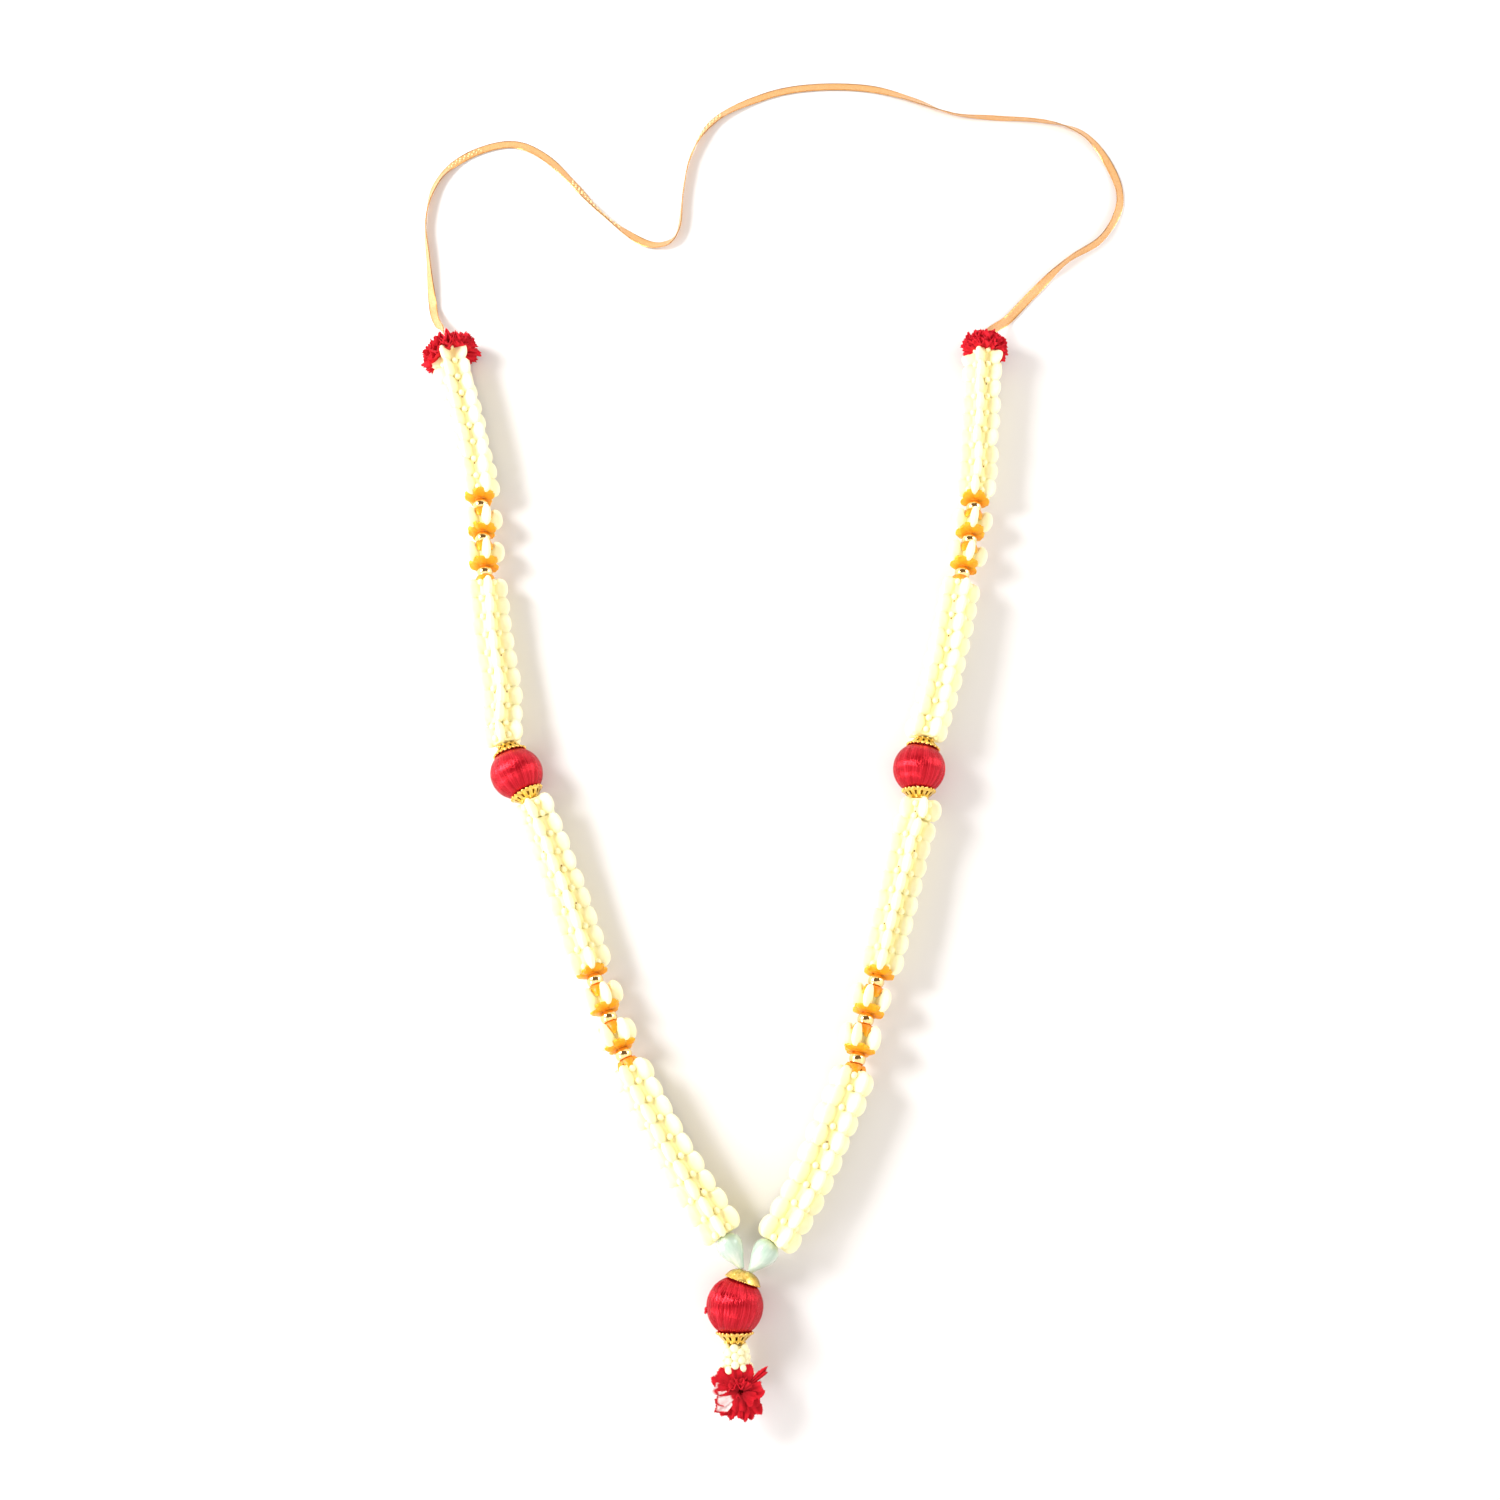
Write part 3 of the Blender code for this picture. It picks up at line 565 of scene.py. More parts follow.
# Open petals end in blunt lobes, and shut ones run to a point
OPEN_CUP = {
    "inner": 2.0, "reach": 3.9, "start": -0.85, "rise": 0.8,
    "half_width": 3.0, "tip": 3.6, "tilt": 0.3,
}
SHUT_CUP = {
    "inner": 3.2, "reach": 1.1, "start": -1.5, "rise": 4.4,
    "half_width": 2.4, "tip": 0.0, "tilt": 0.0,
}


def sheet(rows, columns):
    """Faces of an open sheet, whose points come row by row."""
    faces = []
    for row in range(rows - 1):
        for column in range(columns - 1):
            a = row * columns + column
            faces.append((a, a + 1, a + 1 + columns, a + columns))
    return faces


def cup_petal(angle, form, draw):
    """One petal as a sheet: it leaves the bell, swells, and narrows to its tip."""
    points, tones = [], []
    length = draw.uniform(0.92, 1.05)
    drift = draw.uniform(-0.5, 0.5)
    droop = draw.uniform(-0.5, 0.4)
    twist = draw.uniform(-0.5, 0.5)
    crinkle = draw.uniform(0, 6.3)
    for row in range(PETAL_ROWS):
        u = 1 - (1 - row / (PETAL_ROWS - 1)) ** 1.4
        r = form["inner"] + form["reach"] * u * length
        z = form["start"] + form["rise"] * u * length + droop * u * u
        if form["tip"]:
            lobe = 1 - (abs(u - 0.5) / 0.505) ** form["tip"]
            wide = form["half_width"] * math.sqrt(max(lobe, 0.04))
            wide = max(wide, 1.6 * (1 - u) ** 0.5)
        else:
            wide = form["half_width"] * (1 - u) ** 0.8 + 0.12
        for column in range(PETAL_COLUMNS):
            v = column / (PETAL_COLUMNS - 1) * 2 - 1
            turn = angle + (v * wide + drift * u * u) / r
            bulge = 0.5 * (1 - v * v) * math.sin(math.pi * min(u, 0.9))
            if form["tip"]:
                lift = 0.2 * u * v * v - bulge + twist * u * v
                lift += 0.3 * u * math.sin(5 * v + crinkle)
                points.append(turned(r, turn, z + lift + form["tilt"] * r * math.sin(turn)))
            else:
                points.append(turned(r + bulge, turn, z))
            # Tone grows from the bell to the tip and towards the petal's edges, for painted shade
            # at the base and painted light at the tips
            tones.append(u * (0.7 + 0.3 * v * v))
    return np.array(points), sheet(PETAL_ROWS, PETAL_COLUMNS), tones


def cup_sheet(facing, form, turn, draw):
    """A cup's bell and its five petals, facing along the thread or against it."""
    parts = []
    for fin in range(FINS):
        angle = turn + (fin + 0.5) * 2 * math.pi / FINS
        points, faces, tones = cup_petal(angle, form, draw)
        parts.append((points * (1, 1, facing), faces, tones))
    rings = []
    for r, z in BELL:
        rings += hoop(r, z * facing, BELL_SIDES)
    faces = wrap(len(BELL), BELL_SIDES)[:-BELL_SIDES]
    parts.append((np.array(rings), faces, [0.0] * len(rings)))
    return parts


orange = Finish(
    "orange_cup_plastic", Roughness=0.42, IOR=1.4, Subsurface_Weight=0.4,
    Subsurface_Radius=(1.0, 0.45, 0.1), Subsurface_Scale=1.5 * MM,
)
# Painted shade: darker orange at the petals' base, paler towards the tips and edges as painted
# light
body = orange.shades(orange.tone(), [
    (0.0, (0.96, 0.28, 0.005)), (0.45, (0.97, 0.40, 0.010)), (1.0, (0.98, 0.52, 0.026)),
])
streaks = orange.mottled(900, (0.94, 0.86, 0.7), (1.0, 1.0, 1.0), 4)
orange.colour(orange.mixed(1.0, body, streaks, "MULTIPLY"))
orange.spread(orange.speckle(1500), "Roughness", 0.28, 0.46)
orange.relief(orange.speckle(1800, 2), 0.04 * MM, 0.5)

for index, (name, lay, start, near_turn, far_turn) in enumerate(units):
    draw = random.Random(300 + index)
    shells = Shells()
    near_form, far_form = (SHUT_CUP, OPEN_CUP) if "_a_" in name else (OPEN_CUP, SHUT_CUP)
    for s, facing, turn, form in (
        (start + GAP, -1, near_turn, near_form),
        (start + UNIT_LENGTH - GAP, 1, far_turn, far_form),
    ):
        floor = lay.stand(s - facing * CUP_WALL / 2)
        for points, faces, tones in cup_sheet(facing, form, turn, draw):
            shells.add(strung(points * MM, floor), faces, tones)
    hang(
        f"orange_cups_{name}", shells, [orange.material], [f"cups_{name}"],
        CUP_WALL,
    )

# The gold beads: round glass-bright beads of gold-plated plastic, strung between two cups.
# The plating is a mirror with the faintest ripple.
BEAD_SIDES = 28
BEAD_BANDS = 16

mirror = Finish("gold_bead_mirror", Metallic=1.0, Roughness=0.06)
mirror.colour(mirror.mottled(500, (0.93, 0.66, 0.26), (1.0, 0.78, 0.40), 2))
mirror.spread(mirror.speckle(1200), "Roughness", 0.04, 0.12)
mirror.relief(mirror.speckle(500, 1), 0.03 * MM, 0.35)

for index, (name, lay, start, near_turn, far_turn) in enumerate(units):
    shells = Shells()
    first = math.asin(WIDE_BORE / BEAD_RADIUS)
    points = []
    for band in range(BEAD_BANDS + 1):
        polar = first + (math.pi - 2 * first) * band / BEAD_BANDS
        points += hoop(BEAD_RADIUS * math.sin(polar), -BEAD_RADIUS * math.cos(polar), BEAD_SIDES)
    stand = lay.stand(start + UNIT_LENGTH / 2)
    shells.add(strung(np.array(points) * MM, stand), wrap(BEAD_BANDS + 1, BEAD_SIDES))
    hang(f"gold_bead_{name}", shells, [mirror.material], [f"bead_{name}"])

# The silk balls: wooden balls wound from pole to pole with red silk thread, laid side by side
# in fine ridges. They shine in a broken band round their middle, across the threads.
# The pendant's winding has slipped a little on its left, where a loose end is knotted.
WOUND_SIDES = 240
WOUND_BANDS = 30
POLE_HOLE = 1.6 * WIDE_BORE
RIDGE_HEIGHT = 0.07
SLIP_HEIGHT = 0.085
SLIP_SIDE = 0.8
KNOT_OUT = 10.0
# The loose end's knots: turn round the ball, place along it and size
LOOSE_KNOTS = ((0.0, 2.6, 0.62), (0.04, 3.6, 0.5))

silk = Finish("red_silk_winding", Metallic=0.6, Anisotropic=0.92, IOR=1.45, Specular_IOR_Level=0.4)


def round_the_ball(scale, detail, drift):
    """Noise that changes only round the ball, so it runs from pole to pole as the threads do."""
    where = silk.node("TexCoord")
    flat = silk.node("VectorMath", operation="MULTIPLY")
    flat.inputs[1].default_value = (1, 1, 0)
    level = silk.node("VectorMath", operation="NORMALIZE")
    rise = silk.node("VectorMath", operation="MULTIPLY")
    rise.inputs[1].default_value = (0, 0, drift)
    both = silk.node("VectorMath", operation="ADD")
    noise = silk.node("TexNoise", Scale=scale, Detail=detail)
    silk.link(where.outputs["Object"], flat.inputs[0])
    silk.link(flat.outputs[0], level.inputs[0])
    silk.link(where.outputs["Object"], rise.inputs[0])
    silk.link(level.outputs[0], both.inputs[0])
    silk.link(rise.outputs[0], both.inputs[1])
    silk.link(both.outputs[0], noise.inputs["Vector"])
    return noise.outputs["Fac"]


threads_of_silk = round_the_ball(26, 4, 3)
silk.colour(silk.shades(threads_of_silk, [
    (0.3, (0.38, 0.002, 0.008)), (0.5, (0.54, 0.005, 0.016)), (0.72, (0.80, 0.030, 0.055)),
]))
silk.spread(threads_of_silk, "Roughness", 0.08, 0.30)
silk.relief(round_the_ball(50, 3, 7), 0.22 * MM, 0.8)
across = silk.node("Tangent", direction_type="RADIAL", axis="Z")
silk.link(across.outputs["Tangent"], silk.shader.inputs["Tangent"])

for index, (name, (centre, top_way, bottom_way)) in enumerate(BALLS.items()):
    draw = random.Random(400 + index)
    stand = standing(centre, (bottom_way - top_way).normalized())
    ridges = [draw.uniform(-1, 1) for _ in range(WOUND_SIDES)]
    slips = []
    for _ in range(5):
        slips.append((draw.uniform(0, 6.3), draw.uniform(3, 9), draw.uniform(0, 6.3)))
    first = math.asin(POLE_HOLE * MM / BALL_RADIUS)
    points = []
    for band in range(WOUND_BANDS + 1):
        polar = first + (math.pi - 2 * first) * band / WOUND_BANDS
        for k in range(WOUND_SIDES):
            angle = 2 * math.pi * k / WOUND_SIDES
            wander = sum(math.sin(a + w * polar + 3 * angle) for a, w, b in slips) * 0.01
            ridge = (0.6 * ridges[k] - 0.6 + 0.5 * math.cos(math.pi * k)) * RIDGE_HEIGHT
            if name == "pendant":
                looseness = max(0.0, math.cos(angle - SLIP_SIDE)) ** 1.5 * math.sin(polar)
                folds = 0
                for a, w, b in slips:
                    folds += math.sin(b + (38 + 2 * w) * angle + 2 * math.sin(a + 4 * polar))
                ridge += SLIP_HEIGHT * looseness * (folds - 1.5)
            out = BALL_RADIUS / MM + ridge * math.sin(polar)
            points.append(turned(out * math.sin(polar), angle + wander, -out * math.cos(polar)))
    shells = Shells()
    shells.add(np.array(points) * MM, wrap(WOUND_BANDS + 1, WOUND_SIDES))
    if name == "pendant":
        for turn, z, size in LOOSE_KNOTS:
            knot, faces = ball_grid((size, size * 0.8, size * 1.3), turned(KNOT_OUT, turn, z))
            shells.add(knot * MM, faces)
    hang(f"silk_ball_{name}", shells, [silk.material], [f"ball_{name}"], stand=stand)

# The gold caps: pressed brass filigree cups, slipped over the balls' poles. Each has a
# scalloped neck, a pierced wall of narrow slots and a rim of granules. The pendant's upper cap
# is plain and ribbed instead, with a finely milled rim.
# Bands from a cap's end to its rim: place along it and radius
PIERCED_BANDS = (
    (0.15, 2.4), (0.3, 3.1), (0.9, 3.65), (1.35, 4.15), (2.75, 5.55), (3.15, 5.9), (3.6, 6.2),
)
DOMED_BANDS = (
    (0.1, 1.5), (0.35, 2.9), (0.9, 4.2), (1.6, 5.1), (2.5, 5.8), (3.2, 6.15), (3.75, 6.4),
)
SLOTS = 14
SLOT_BAND = 3
SLOT_DEPTH = 0.35
RIBS = 24
RIB_HEIGHT = 0.12
SCALLOPS = 10
SCALLOP_HEIGHT = 0.25
CAP_WALL = 0.3 * MM
# Rings of granules: how many, their size, their flatness, and the ring's radius and place
PIERCED_GRAINS = ((22, 0.66, 0.561, 6.15, 3.62), (10, 0.62, 0.55, 3.3, 0.55))
DOMED_GRAINS = ((44, 0.34, 0.289, 6.35, 3.62),)

brass = Finish("gold_cap_brass", Metallic=1.0, Roughness=0.22)
gilt = brass.shades(brass.speckle(900, 3), [
    (0.25, (0.66, 0.39, 0.06)), (0.5, (0.86, 0.58, 0.14)), (0.8, (0.98, 0.76, 0.30)),
])
# Tone 1 marks the slot floors, which are painted dark brown as painted shade
brass.colour(brass.mixed(brass.tone(), gilt, (0.24, 0.11, 0.02, 1.0)))
brass.spread(brass.speckle(1600), "Roughness", 0.14, 0.34)
brass.relief(brass.speckle(1500, 2), 0.06 * MM, 0.6)

for name, (centre, top_way, bottom_way) in BALLS.items():
    for end, way in (("top", top_way), ("bottom", bottom_way)):
        domed = name == "pendant" and end == "top"
        bands = DOMED_BANDS if domed else PIERCED_BANDS
        stand = Lay([centre + way * CAP_END, centre]).stand(0)
        columns = 2 * RIBS if domed else 5 * SLOTS
        points, tones = [], []
        for row, (z, r) in enumerate(bands):
            for k in range(columns):
                angle = 2 * math.pi * k / columns
                out = r
                if domed:
                    out += RIB_HEIGHT * math.cos(math.pi * k) * (row > 0)
                elif row < 2:
                    out += SCALLOP_HEIGHT * math.cos(SCALLOPS * angle)
                points.append(turned(out, angle, z))
                tones.append(0.0)
        faces = []
        for row in range(len(bands) - 1):
            for k in range(columns):
                a, j = row * columns, (k + 1) % columns
                corners = (a + k, a + j, a + columns + j, a + columns + k)
                if domed or row != SLOT_BAND or k % 5 > 1:
                    faces.append(corners)
        # The slots are not cut through: each is sunk and floored in dark brown, painted shade
        # standing for the dark inside of an open slot
        if not domed:
            for slot in range(SLOTS):
                near = SLOT_BAND * columns + 5 * slot
                far = near + columns
                rim = [near, near + 1, near + 2, far + 2, far + 1, far]
                first = len(points)
                for corner in rim:
                    x, y, z = points[corner]
                    inward = 1 - SLOT_DEPTH / math.hypot(x, y)
                    points.append((x * inward, y * inward, z))
                    tones.append(1.0)
                for k in range(6):
                    j = (k + 1) % 6
                    faces.append((rim[k], rim[j], first + j, first + k))
                faces.append((first, first + 1, first + 4, first + 5))
                faces.append((first + 1, first + 2, first + 3, first + 4))
        shells = Shells()
        shells.add(strung(np.array(points) * MM, stand), faces, tones)
        hang(
            f"gold_cap_{name}_{end}", shells, [brass.material], [f"ball_{name}_cap_{end}"],
            CAP_WALL,
        )
        grains = Shells()
        for count, size, flat, ring, z in DOMED_GRAINS if domed else PIERCED_GRAINS:
            for spot in hoop(ring, z, count):
                grain, sides = ball_grid((size, size, flat), spot)
                grains.add(strung(grain * MM, stand), sides)
        hang(f"gold_cap_grains_{name}_{end}", grains, [brass.material], [])

# The mint teardrops: pearl-coated glass drops, one on each thread, thick end to the strand.
# They meet over the pendant's upper cap.
TEAR_SHAPE = [
    (0.0, 1.6), (0.04, 2.9), (0.18, 4.5), (0.38, 4.7),
    (0.62, 3.6), (0.85, 2.0), (1.0, 1.15), (1.05, 0.85),
]
TEAR_SIDES = 32

pearl = Finish("mint_pearl_glaze", Roughness=0.22, Coat_Weight=0.7, Coat_Roughness=0.08, IOR=1.5)
pearl.shader.inputs["Subsurface Weight"].default_value = 0.15
pearl.shader.inputs["Subsurface Radius"].default_value = (0.8, 1.0, 0.9)
pearl.shader.inputs["Subsurface Scale"].default_value = 1.0 * MM
pearl.colour(pearl.shades(pearl.speckle(420, 4, (1, 1, 0.12)), [
    (0.3, (0.42, 0.58, 0.46)), (0.5, (0.54, 0.67, 0.56)), (0.72, (0.74, 0.81, 0.71)),
]))
pearl.spread(pearl.speckle(800, 2, (1, 1, 0.2)), "Roughness", 0.14, 0.34)
pearl.relief(pearl.speckle(500, 2, (1, 1, 0.15)), 0.05 * MM, 0.4)

profile = Lay([Vector((share * TEAR_LENGTH / MM, r, 0)) for share, r in TEAR_SHAPE], steps=5)
for side in ("left", "right"):
    lay, s = tails[side, "lower"]
    points = []
    for spot in profile.line:
        points += hoop(spot.y, spot.x, TEAR_SIDES)
    for z in (TEAR_LENGTH / MM, 0.0):
        points += hoop(BORE, z, TEAR_SIDES)
    top = lay.middle(s + GAP)
    stand = standing(top, (lay.middle(s + GAP + TEAR_LENGTH) - top).normalized())
    shells = Shells()
    shells.add(np.array(points) * MM, wrap(len(profile.line) + 2, TEAR_SIDES))
    hang(
        f"mint_drop_{side}", shells, [pearl.material], [f"teardrop_{side}"],
        stand=stand,
    )

# The bud cluster: rows of small cream plastic buds, staggered round a core under the
# pendant's ball. They are the same waxy plastic as the crown flowers.
BUD_ROWS = 8
BUDS_ROUND = 6
CLUSTER_SIDES = 24
# How far out the first row stands, and how much further the last one does
BUDS_OUT = 3.55
BUDS_SPREAD = 1.65
# The core that the buds stand on: place along it and radius
CLUSTER_CORE = (
    (0.0, 2.6), (0.4, 3.2), (3.0, 3.8), (6.0, 4.2), (9.0, 4.1),
    (10.6, 3.4), (11.0, 2.4), (11.0, 1.3), (0.0, 1.3),
)

shells = Shells()
draw = random.Random(500)
rings = []
for z, r in CLUSTER_CORE:
    ring = np.array(hoop(r, 0, CLUSTER_SIDES))
    rings += list(strung(ring * MM, pendant_tail.stand(GAP + z * MM)))
# The core takes a low tone, so it is painted the deeper yellow of painted shade between the buds
shells.add(rings, wrap(len(CLUSTER_CORE), CLUSTER_SIDES), 0.1)
for row in range(BUD_ROWS):
    share = (row + 0.5) / BUD_ROWS
    out = BUDS_OUT + BUDS_SPREAD * share
    stand = pendant_tail.stand(GAP + share * BUDS_LENGTH)
    for k in range(2 * BUDS_ROUND):
        if (k + row) % 2 == 0:
            continue
        angle = k * math.pi / BUDS_ROUND + draw.uniform(-0.08, 0.08)
        if share > 0.7 and math.sin(angle) > 0.2:
            continue
        size = draw.uniform(1.4, 1.6)
        bud, sides = ball_grid((size, size, size * 0.98), (0, 0, 0), 10, 8)
        bud += turned(out, angle, draw.uniform(-0.15, 0.15))
        shells.add(strung(bud * MM, stand), sides, 0.82)
hang("cream_buds", shells, [cream.material], ["bud_cluster"])

# The carnations: red cotton cloth, cut with pinking shears into toothed petals, gathered round
# a core and tied on the thread's end. On the pendant's a few petals fray or have missed the dye.
CARNATION_COLUMNS = 31
CARNATION_ROWS = 8
CLOTH = 0.3 * MM
PETAL_ROOT = 1.2 * MM
FRAY_CHANCE = 0.3

# Each carnation's layers: place on the core, spread, petals, length, width, first angle, frill
BLOOMS = {
    "left": [
        (-0.35, 104, 14, 10.4, 7.6, 0, 1.0), (-0.25, 99, 14, 11.2, 7.6, 12, 1.2),
        (-0.15, 94, 14, 10.8, 7.4, 5, 1.4), (-0.05, 86, 12, 9.4, 7.0, 20, 1.4),
        (0.0, 74, 11, 7.4, 6.6, 12, 1.3), (0.05, 54, 8, 4.6, 5.6, 30, 1.0),
        (0.15, 34, 7, 4.4, 5.0, 10, 1.0), (0.25, 14, 5, 3.8, 4.4, 40, 0.8),
    ],
    "right": [
        (-0.4, 88, 11, 7.9, 7.0, 0, 0.9), (-0.2, 82, 12, 8.2, 7.2, 14, 1.2),
        (0.0, 74, 11, 8.2, 7.4, 8, 1.4), (0.2, 62, 10, 7.6, 7.0, 22, 1.4),
        (0.35, 42, 8, 6.8, 6.4, 12, 1.2), (0.5, 18, 6, 5.4, 5.4, 40, 0.9),
    ],
    "pendant": [
        (0.1, 100, 8, 4.6, 5.6, 20, 0.7), (0.35, 88, 8, 5.0, 5.6, 45, 0.9),
        (0.6, 62, 7, 4.4, 5.2, 15, 0.9),
    ],
}
# Which cloth a petal is cut from
RED, FRAYED, UNDYED = 0, 1, 2
# The pendant's face: each petal's way on the table, its rise, length, width and cloth
ROSETTE = [
    (216, -0.20, 8.8, 6.0, RED), (196, -0.15, 7.6, 5.6, RED), (172, -0.2, 8.2, 4.4, RED),
    (143, -0.20, 8.8, 6.4, RED), (112, -0.10, 6.6, 6.0, RED), (84, 0.00, 7.0, 5.6, RED),
    (66, -0.05, 6.0, 4.4, RED), (238, -0.05, 9.2, 5.6, UNDYED), (258, 0.00, 7.8, 6.4, UNDYED),
    (276, 0.05, 8.6, 4.2, FRAYED), (302, 0.1, 9.8, 6.6, RED), (50, 0.05, 10.8, 2.4, RED),
    (14, 0.12, 8.2, 6.0, RED), (344, 0.16, 7.4, 4.6, RED), (190, 0.10, 5.4, 5.4, RED),
    (120, 0.30, 4.8, 5.0, RED), (30, 0.5, 3.8, 4.6, RED), (320, 0.35, 4.6, 3.6, RED),
]
# How much darker the rosette's red petals are than the outer ones
ROSETTE_SHADE = 0.62
# How far the rosette's middle stands from the core's outer end, right, back and up
ROSETTE_OFF = Vector((0.9, 1.6, 4.2)) * MM


def cloth_petal(root, way, across, length, width, frill, draw):
    """One toothed petal as a sheet of cloth, and how near its edge each point is."""
    normal = way.cross(across)
    phase = draw.uniform(0, 6.3)
    waves = draw.uniform(1.6, 2.8)
    curl = draw.uniform(-0.1, 0.2)
    lobe = draw.uniform(0, 6.3)
    teeth = []
    for column in range(CARNATION_COLUMNS):
        teeth.append(draw.uniform(-0.01, 0.05) - 0.05 * (column % 2))
    points, tones = [], []
    for row in range(CARNATION_ROWS):
        w = row / (CARNATION_ROWS - 1)
        for column in range(CARNATION_COLUMNS):
            u = column / (CARNATION_COLUMNS - 1) * 2 - 1
            reach = length * (1 - 0.2 * abs(u) ** 3 + 0.07 * math.sin(4.5 * u + lobe) * w) * w
            if row == CARNATION_ROWS - 1:
                reach *= 1 + teeth[column]
            half = 0.13 * width + 0.4 * width * w**0.7
            rise = frill * w**1.5 * math.sin(math.pi * waves * u + phase) + curl * length * w * w
            rise += 0.3 * frill * w**2 * math.sin(9 * u + lobe) + draw.uniform(-0.12, 0.12) * w
            points.append(root + (way * reach + across * (u * half) + normal * rise) * MM)
            tones.append(w)
    return points, sheet(CARNATION_ROWS, CARNATION_COLUMNS), tones


def red_cloth(name, stops):
    """The carnation's cloth, coloured from a petal's root to its cut edge, the dark root being
    painted shade where the petals crowd.
    """
    cloth = Finish(
        name, Roughness=0.85, Specular_IOR_Level=0.15, Sheen_Weight=0.08, Sheen_Roughness=0.5,
    )
    cloth.shader.inputs["Sheen Tint"].default_value = (1.0, 0.4, 0.4, 1.0)
    depth_shading = cloth.shades(cloth.tone(), stops)
    patches = cloth.mottled(700, (0.74, 0.66, 0.66), (1.0, 1.0, 1.0), 5)
    cloth.colour(cloth.mixed(1.0, depth_shading, patches, "MULTIPLY"))
    cloth.relief(cloth.speckle(3200, 4), 0.18 * MM, 0.8)
    return cloth.material


painted_root_shade = (0.30, 0.002, 0.008)
body = (0.60, 0.007, 0.018)
edge = (0.75, 0.014, 0.032)
pale = (0.95, 0.76, 0.75)
cloths = [
    red_cloth("red_carnation_cloth", [(0.0, painted_root_shade), (0.5, body), (0.85, edge), (1.0, edge)]),
    red_cloth("frayed_carnation_cloth", [(0.0, painted_root_shade), (0.5, body), (0.9, edge), (1.0, pale)]),
    red_cloth("undyed_carnation_cloth", [
        (0.0, painted_root_shade), (0.3, body), (0.4, pale), (0.88, pale), (0.96, body),
    ]),
]
for index, (name, layers) in enumerate(BLOOMS.items()):
    draw = random.Random(600 + index)
    core = cores[name]
    heart_radius = CORES[name][3] * 0.6
    shells = Shells()
    heart, sides = ball_grid((heart_radius, heart_radius, 2.4 * MM), (0, 0, 0), 14, 10)
    # The heart takes a low tone: painted shade at the bloom's middle
    shells.add(strung(heart, core.stand(core.length * 0.3)), sides, 0.2)
    for height, spread, count, length, width, first, frill in layers:
        for k in range(count):
            angle = math.radians(first) + 2 * math.pi * (k + draw.uniform(-0.2, 0.2)) / count
            middle, across, upper, axis = (Vector(v) for v in core.stand(height * core.length))
            outward = across * math.cos(angle) + upper * math.sin(angle)
            lean = spread + draw.uniform(-9, 9) - 6 * outward.z
            if name == "left":
                lean -= 14 * outward.x
            lean = math.radians(lean)
            way = axis * math.cos(lean) + outward * math.sin(lean)
            long = length * draw.uniform(0.88, 1.06)
            if name == "left":
                long *= 1 - 0.2 * max(outward.z, 0)
            root = middle + outward * PETAL_ROOT
            if way.z < 0:
                flat = Vector((way.x, way.y, 0)).normalized()
                share = max(0.0, -way.z - (root.z / MM - 1.0) / long)
                way = (way + Vector((0, 0, share)) + flat * share).normalized()
            around = axis.cross(outward)
            points, faces, tones = cloth_petal(root, way, around, long, width, frill, draw)
            may_fray = name == "pendant" and outward.x < -0.4
            cloth = FRAYED if may_fray and draw.random() < FRAY_CHANCE else RED
            shells.add(points, faces, tones, cloth)
    if name == "pendant":
        middle = core.middle(core.length) + ROSETTE_OFF
        for turn, rise, length, width, cloth in ROSETTE:
            way = (heading(turn) + Vector((0, 0, rise))).normalized()
            across = Vector((0, 0, 1)).cross(way).normalized()
            root = middle + way * MM
            points, faces, tones = cloth_petal(root, way, across, length, width, 0.4, draw)
            shade = ROSETTE_SHADE if cloth == RED else 1.0
            shells.add(points, faces, [shade * tone for tone in tones], cloth)
    hang(f"cloth_carnation_{name}", shells, cloths, [f"carnation_{name}"], CLOTH)

# The ribbon: one narrow gold-coloured ribbon, woven with a fine rib and edged both sides with
# a metallic picot thread. It closes the loop between the two upper carnations, and lies
# loosely on the table, flat in its bends and on edge between them.
RIBBON_WIDTH = 4.0 * MM
RIBBON_THICKNESS = 0.6 * MM
RIBBON_CLEARANCE = 0.05 * MM
RIBBON_STEPS = 8
RIBBON_RINGS = 1300
# Points along it, how far it leans from standing on edge, and its lift into the carnations
RIBBON_ROUTE = [
    (-130.6, 182.7, 0, 6.4), (-131.9, 186.0, 20, 5.8), (-134.9, 190.6, 50, 2.8),
    (-137.8, 200, 70, 0), (-141.0, 223, 30, 0), (-143.2, 243, 10, 0),
    (-139.5, 263, 50, 0), (-127.0, 277, 85, 0),
    (-108.0, 283.4, 85, 0), (-92.7, 277, 80, 0), (-78.6, 262, 60, 0), (-64.5, 245.3, 30, 0),
    (-48.0, 233.2, 80, 0), (-38.0, 231.4, 60, 0), (-31.6, 238, 20, 0), (-29.6, 258, 5, 0),
    (-26.1, 277, 10, 0), (-15.5, 296, 60, 0), (6.6, 308.8, 85, 0), (28.3, 313.7, 85, 0),
    (53.8, 313.1, 85, 0), (73.9, 306.6, 60, 0), (91.4, 298.6, 30, 0), (110.4, 296.2, 10, 0),
    (131.8, 294.6, 20, 0), (150.0, 288.6, 60, 0), (161.5, 271, 85, 0), (164.2, 252, 60, 0),
    (155.0, 234, 30, 0), (139.5, 223, 10, 0), (124.9, 208.3, 60, 0), (112.4, 194.4, 70, 0),
    (106.4, 188.4, 50, 2.8), (102.0, 184.3, 20, 5.6), (100.4, 180.3, 0, 6.4),
]
